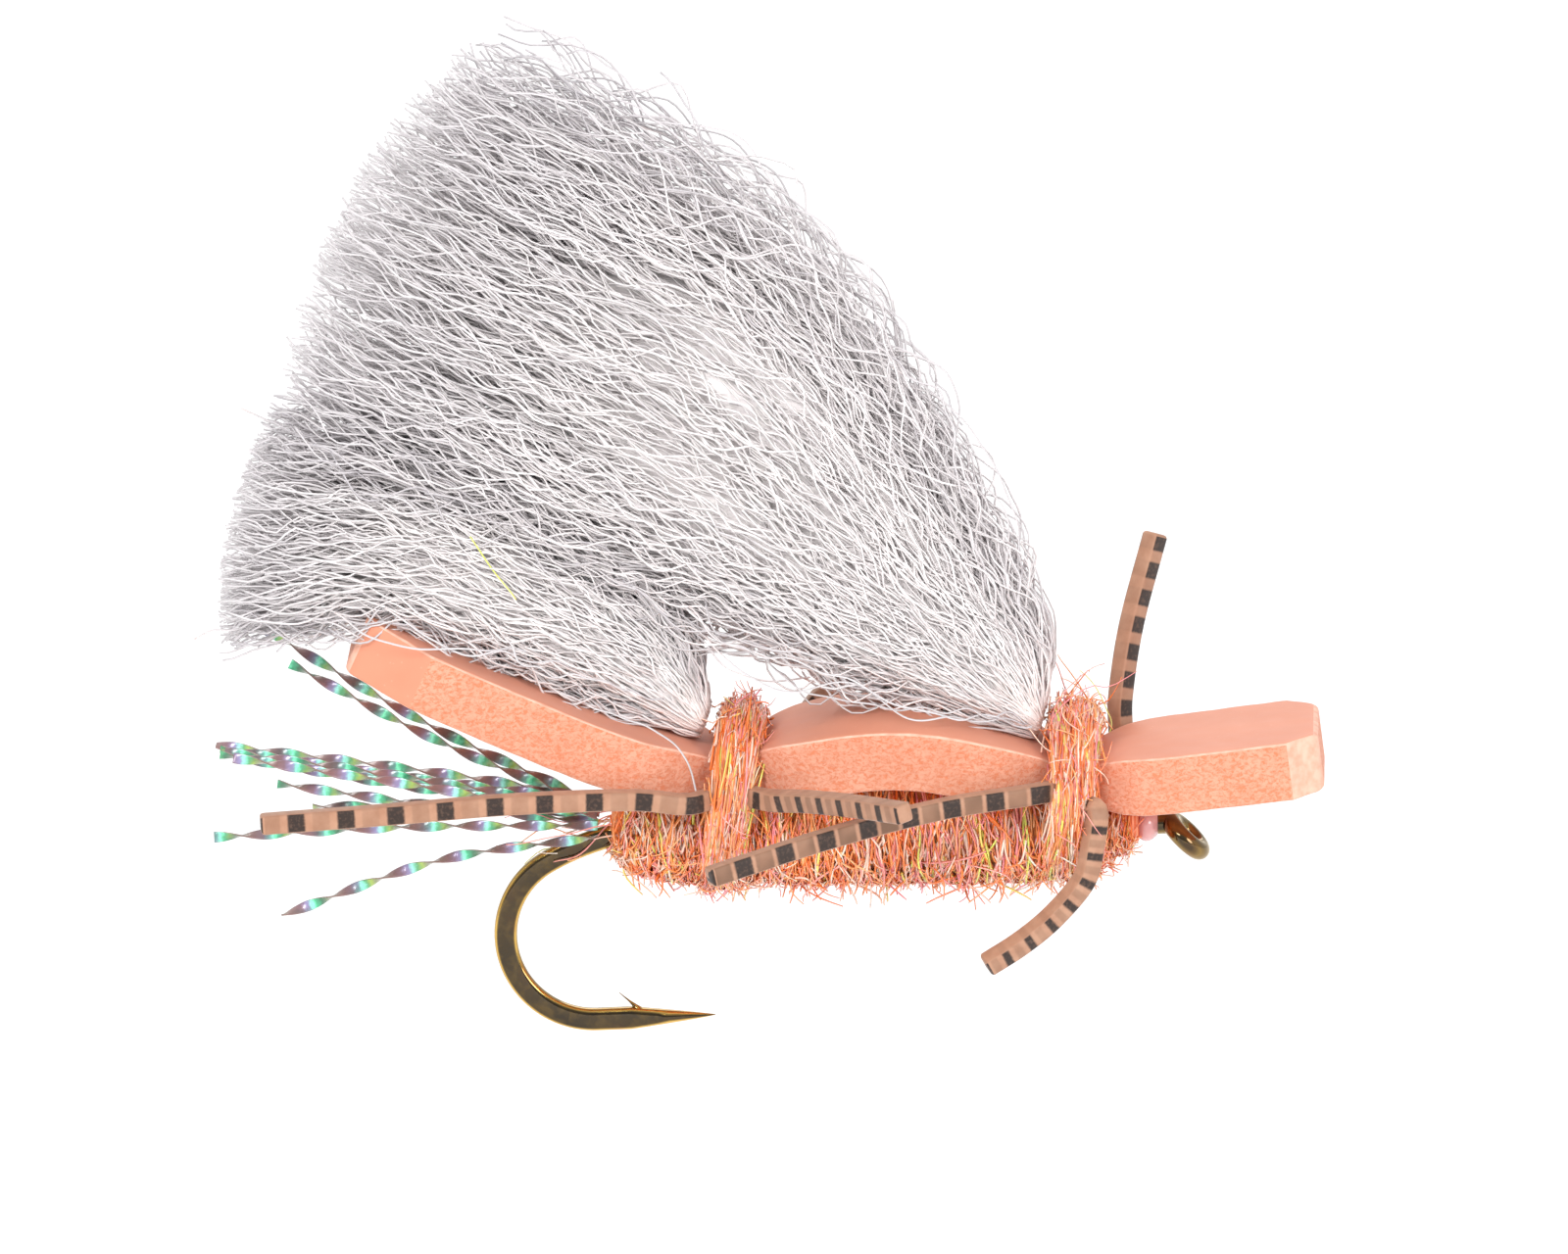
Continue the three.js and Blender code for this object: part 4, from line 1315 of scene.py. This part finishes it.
def add_head(thread, cement, fibre):
    turns = 9
    xs = np.linspace(-2.45, -1.55, 12 * turns + 1)
    base = np.interp(xs, [-2.45, -2.3, -2.0, -1.6, -1.55], [0.7, 0.84, 0.79, 0.6, 0.45])
    ridges = 0.035 * np.abs(np.sin(np.linspace(0, math.pi * turns, len(xs))))
    add_solid("head_wraps", turned(xs, base + ridges), thread, "fly", "thread", "head_thread_wraps")

    xs = np.linspace(-1.62, -0.92, 40)
    share = (xs - xs[0]) / (xs[-1] - xs[0])
    drop = 0.36 + 0.27 * np.sin(np.pi * share**0.8) ** 0.7
    add_solid("head_cement_drop", turned(xs, drop), cement, "fly", "cement", "head_cement")

    rng = np.random.default_rng(SEED + 5)

    def surface(x, turn, lift):
        radius = np.interp(x, [-2.9, -2.3, -1.7], [1.25, 0.95, 0.7]) + lift
        return np.stack([x, radius * np.cos(turn), SHANK_Z + radius * np.sin(turn)], axis=-1)

    below = (-math.pi, 0.0)
    paths = wound_paths(
        rng, 260, 9, surface, -2.8, -1.8, below,
        sweep=(0.8, 2.0), lean=0.35, lift=(-0.1, 0.14), flare=0.16,
    )
    dubbing_bundle("head_dubbing", rng, paths, fibre, radius=(0.024, 0.04), shaded_at=4)


# ---------------------------------------------------------------- wings


def in_tuft(outline, t, a, b):
    """The point a share t of the way from tie to tips, at (a, b) in the tuft's round section."""
    low, high = spline(outline["lower"], t), spline(outline["upper"], t)
    middle = low + (high - low) * ((1 + a) / 2)[..., None]
    gap = high - low
    ahead = unit(np.stack([-gap[..., 1], gap[..., 0]], axis=-1))
    middle = middle + ahead * (outline["bulge"] * t**6 * (1 - np.minimum(a**2, 1)))[..., None]
    half = WING_ROOT_HALF_WIDE + (outline["half_wide"] - WING_ROOT_HALF_WIDE) * t**0.6
    return np.stack([middle[..., 0], half * b, middle[..., 1]], axis=-1)


def lowered(a):
    """a, -1..1 from a tuft's lower outline to its upper one, drawn in and down: the dense part lies low."""
    return a * 0.9 - 0.08


def in_disc(rng, count, inner, outer):
    """Random places (a, b) between two radii of a tuft's section."""
    rim = np.sqrt(rng.uniform(inner**2, outer**2, (count, 1)))
    turn = rng.uniform(0, 2 * math.pi, (count, 1))
    return rim * np.cos(turn), rim * np.sin(turn)


def wing_paths(rng, outline, places, steps, reach, drift, swing, loose):
    """Crimped fibres from their places at the root: they cross, swing about and end in ragged locks."""
    count = len(reach)
    locks = rng.uniform(-0.95, 0.95, (LOCKS, 2))
    nearest = np.argmin(sum((place - locks[:, i]) ** 2 for i, place in enumerate(places)), axis=1)
    reach = reach * (1 + rng.normal(0, 0.022, (LOCKS, 1))[nearest])
    t = np.linspace(0, 1, 48)[None] * np.clip(reach, 0.1, 1)
    pull = 0.42 * np.clip((t - 0.55) / 0.45, 0, 1)
    moved = []
    for i, place in enumerate(places):
        turns = rng.uniform(0.8, 2.6, (count, 1))
        swung = swing * np.sin(2 * np.pi * turns * t + rng.uniform(0, 2 * math.pi, (count, 1)))
        going = place + rng.normal(0, drift, (count, 1)) * t**1.3 + swung * np.clip(4 * t, 0, 1)
        going = going + (locks[nearest, i][:, None] - going) * pull
        moved.append(np.where(np.abs(going) > 1.15, 2.3 * np.sign(going) - going, going))
    even, length = evenly(in_tuft(outline, t, *moved), steps)
    return crimped(rng, even, length, loose)


def add_wing_felt(name, outline, material):
    """The matted inside of a tuft, which ends short of the tips."""
    sides, steps = 96, 160
    turn = full_turn(sides)
    end, closing = 0.885, 0.22  # it would close to a point at end, and narrows over this much before
    t = np.linspace(0.015, end - 0.01, steps)
    fade = np.clip((end - t) / closing, 0, 1)
    size = 0.87 * np.sqrt(1 - (1 - fade) ** 2) * (0.75 + 0.25 * np.clip(t / 0.15, 0, 1))
    a, b = lowered(size[:, None] * np.cos(turn)), size[:, None] * np.sin(turn)
    rings = in_tuft(outline, np.broadcast_to(t[:, None], a.shape), a, b)
    strip = np.stack([6 * np.cos(turn), 6 * np.sin(turn)], axis=-1)
    ridge = np.array([[noise.noise(Vector((u, v, 2.2 * s))) for u, v in strip] for s in t])
    fine = np.array([[noise.noise(Vector((4 * u, 4 * v, 9 * s))) for u, v in strip] for s in t])
    centre = rings.mean(axis=1, keepdims=True)
    rings = rings + unit(rings - centre) * (0.35 * ridge * t[:, None] ** 0.4 + 0.1 * fine)[..., None]
    add_solid(f"{name}_felt", rings, material, name, "yarn", name)


def crimped(rng, paths, length, loose):
    """Yarn crimp: tight kinks, slow waves and a drift that grows towards the tips."""
    count, steps, _ = paths.shape
    run = np.linspace(0, 1, steps)[None] * length[:, None]
    normal, binormal = frames_along(paths)
    near_root = np.clip(run / 5.0, 0, 1)
    surge = 0.75 + 0.55 * np.sin(run / rng.uniform(1.2, 3.0, (count, 1)) + rng.uniform(0, 6, (count, 1)))

    def wave(low, high):
        pitch = rng.uniform(low, high, (count, 1))
        wander = 0.9 * np.sin(run / rng.uniform(2.2, 4.5, (count, 1)) + rng.uniform(0, 6, (count, 1)))
        return np.sin(2 * np.pi * run / pitch + rng.uniform(0, 2 * math.pi, (count, 1)) + wander)

    offsets = []
    for _ in range(2):
        kink = 0.1 * rng.uniform(0.4, 1.7, (count, 1)) * surge * wave(1.2, 2.6)
        slow = 0.24 * loose * rng.uniform(0.3, 1.8, (count, 1)) * wave(3.6, 9.0)
        drift = rng.normal(0, 0.4 * min(loose, 1), (count, 1)) * (run / 25.0) ** 1.3
        offsets.append((kink * (0.35 + 0.65 * near_root) + slow * near_root + drift)[..., None])
    return paths + normal * offsets[0] + binormal * offsets[1]


def add_strays(name, material, dubbing):
    """A tuft's loose fibres, and in the rear one a yellow-green fibre of dubbing."""
    rng = np.random.default_rng(SEED + 30)
    share = np.linspace(0, 1, 90)[None]
    steps = 60
    controls = STRAYS[name]
    even, length = evenly(np.concatenate([spline(path, share, free_ends=True) for path in controls]), steps)
    radii = np.full((len(controls), steps), YARN_RADIUS)
    # painted shade: the loose fibres are painted grey
    shades = rng.uniform(0.1, 0.6, len(controls))
    paths = crimped(rng, even, length, loose=0.3)
    fibre_bundle(f"{name}_strays", paths, radii, shades, material, name, "yarn", name)
    if name == "rear_wing":
        even, length = evenly(spline(WING_GLINT, share, free_ends=True), steps)
        radii, yellow_green = np.full((1, steps), 0.03), np.array([0.99])
        paths = crimped(rng, even, length, loose=0.4)
        fibre_bundle("rear_wing_glint", paths, radii, yellow_green, dubbing, name, "dubbing")


def add_wing(name, pieces, count, steps, yarn, felt, dubbing, seed):
    """A tuft: felt inside, its fibres in so many pieces of count each, looser ones round them, strays.

    Last come fibres within the tuft that carry on from the felt to the tips.
    """
    outline = WINGS[name]
    rng = np.random.default_rng(seed)
    add_wing_felt(name, outline, felt)
    for part in range(1, pieces + 1):
        short = rng.random((count, 1)) < SHORT_SHARE
        tips = 1 - rng.exponential(0.055, (count, 1))
        reach = np.where(short, rng.uniform(0.5, 0.92, (count, 1)), tips)
        inner = np.where(rng.random((count, 1)) < DEEP_SHARE, 0.3, 0.78)
        a, b = in_disc(rng, count, inner, 1.0)
        a = lowered(a)
        paths = wing_paths(rng, outline, (a, b), steps, reach, drift=0.13, swing=0.035, loose=1.0)
        radii = np.repeat(rng.uniform(0.032, 0.045, (count, 1)), steps, axis=1)
        # painted shade: fibres near the tuft's upper and lower outlines are painted greyer, those inside
        # whiter
        shades = np.clip(0.86 - 0.3 * np.abs(a[:, 0]) ** 3 + rng.normal(0, 0.17, count), 0, 0.999)
        fibre_bundle(f"{name}_yarn_{part}", paths, radii, shades, yarn, name, "yarn", name)
    for part, count, low, high, swing in (("net", 150, 0.6, 1.04, 0.06), ("hem", 110, -1.12, -0.85, 0.09)):
        a, b = rng.uniform(low, high, (count, 1)), rng.uniform(-0.75, 0.75, (count, 1))
        reach = 1 - rng.exponential(0.12, (count, 1))
        paths = wing_paths(rng, outline, (a, b), steps, reach, drift=0.1, swing=swing, loose=1.8)
        radii = np.full((count, steps), YARN_RADIUS)
        # painted shade: these looser fibres at the tuft's edges are painted grey
        shades = np.clip(rng.normal(0.36, 0.2, count), 0, 0.999)
        fibre_bundle(f"{name}_{part}", paths, radii, shades, yarn, name, "yarn", name)
    add_strays(name, yarn, dubbing)

    rng = np.random.default_rng(seed + 40)
    count = pieces * 120
    a, b = in_disc(rng, count, 0, 0.64)
    reach = 1 - rng.exponential(0.07, (count, 1))
    paths = wing_paths(rng, outline, (lowered(a), b), steps, reach, drift=0.12, swing=0.035, loose=1.0)
    paths = paths[:, steps * 3 // 5 :]  # the rest would be hidden in the felt
    radii = np.full(paths.shape[:2], YARN_RADIUS)
    # painted light: the fibres inside the tuft are painted near white
    shades = np.clip(rng.normal(0.8, 0.15, count), 0, 0.999)
    fibre_bundle(f"{name}_heart", paths, radii, shades, yarn, name, "yarn", name)


# ---------------------------------------------------------------- legs and flash


def leg_rings(path, roll, steps):
    """Square rubber with rounded edges along a leg's path, its end cut square."""
    share = np.linspace(0, 1, 200)[None]
    even, length = evenly(spline(path, share, free_ends=True), steps - 3)
    # the cut end is rounded over its last tenth of a millimetre
    old = np.linspace(0, length[0], steps - 3)
    run = np.sort(np.concatenate([old, length[0] - np.array([0.1, 0.06, 0.025])]))
    even = np.stack([np.interp(run, old, even[0, :, axis]) for axis in range(3)], axis=-1)[None]
    normal, binormal = frames_along(even, sideways=True)
    sides = 20
    turn = 2 * np.pi * (np.arange(sides) + 0.5) / sides
    flat, deep = boxy(np.cos(turn), 0.28), boxy(np.sin(turn), 0.28)
    a = flat * math.cos(roll) - deep * math.sin(roll)
    b = flat * math.sin(roll) + deep * math.cos(roll)
    size = np.full(steps, LEG / 2)
    size[-4:] *= [0.985, 0.95, 0.88, 0.74]
    a, b = size[:, None] * a, size[:, None] * b
    rings = even[0][:, None] + a[..., None] * normal[0][:, None] + b[..., None] * binormal[0][:, None]
    return rings, float(length[0])


def tucked(path):
    """A leg's path with a first point inside the collar that the leg comes out of."""
    x, y, z = path[0]
    collar = min(COLLARS.values(), key=lambda one: abs(one["x"] - x))
    return [[(x + collar["x"]) / 2, math.copysign(2.7, y), z], *path]


def add_leg(name, leg):
    rings, length = leg_rings(tucked(leg["path"]), math.radians(leg["roll"]), 96)
    material = rubber_material(f"{name}_rubber", length, leg)
    add_strand(f"{name}_strand", rings, material, name, "rubber_strand", name, sharp=60)


def add_flash():
    """Flat film ribbons, each twisted along its length."""
    half_wide, half_thick, steps = 0.185, 0.035, 150
    for i, flash in enumerate(FLASH, start=1):
        start = np.array([TAIL_ROOT_X, *flash["root"]])
        tip = np.array(flash["tip"])
        middle = (start + tip) / 2 + np.array([0, 0, flash["bow"]])
        share = np.linspace(0, 1, 120)[None]
        even, length = evenly(spline([start, middle, tip], share, free_ends=True), steps)
        normal, binormal = frames_along(even, sideways=True)
        run = np.linspace(0, float(length[0]), steps)
        start_turn = 1.7 * i
        twist = 2 * np.pi * run / FLASH_TWIST + start_turn
        flat = normal[0] * np.cos(twist)[:, None] + binormal[0] * np.sin(twist)[:, None]
        edge = binormal[0] * np.cos(twist)[:, None] - normal[0] * np.sin(twist)[:, None]
        turn = full_turn(16)
        a, b = half_wide * boxy(np.cos(turn), 0.9), half_thick * boxy(np.sin(turn), 0.5)
        rings = even[0][:, None] + flat[:, None] * a[:, None] + edge[:, None] * b[:, None]
        material = flash_material(f"pearl_flash_{i:02d}", float(length[0]), start_turn / math.pi)
        add_strand(f"tail_ribbon_{i:02d}", rings, material, "tail_flash", "flash_film", f"tail_flash_{i:02d}")


# ---------------------------------------------------------------- inner nodes


def dress_node(name, material):
    """A CAD node that stays gets a material of its own."""
    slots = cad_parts[name].data.materials
    slots.clear()
    slots.append(material)


add_camera()
add_studio()

THREAD = thread_material()
DUBBING = dubbing_material()
CORE = dubbing_core_material()
YARN = yarn_material()
FELT = felt_material()
BUTT = yarn_butt_material()
BOUND_RUBBER = plain_rubber_material()

add_hook(bronze_material())
add_foam(foam_skin_material(), foam_cut_material(), foam_edge_highlight_material())
add_abdomen(CORE, DUBBING)
for number, (place, collar) in enumerate(COLLARS.items()):
    add_collar(place, collar, CORE, DUBBING, SEED + 10 + number)
add_loose_dubbing(DUBBING)
add_head(THREAD, cement_material(), DUBBING)
add_wing("rear_wing", 2, 480, 52, YARN, FELT, DUBBING, SEED + 20)
add_wing("front_wing", 4, 380, 84, YARN, FELT, DUBBING, SEED + 21)
for name, leg in LEGS.items():
    add_leg(name, leg)
add_flash()
dress_node("shank_thread_base", THREAD)
for place in COLLARS:
    dress_node(f"{place}_thread_band", THREAD)
    dress_node(f"{place}_wing_butt", BUTT)
    for side in ("right", "left"):
        dress_node(f"{place}_leg_tie_{side}", BOUND_RUBBER)

boxes = {"cad": CAD_BOX, "visual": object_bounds()}
{key: [list(corner) for corner in box] for key, box in boxes.items()}
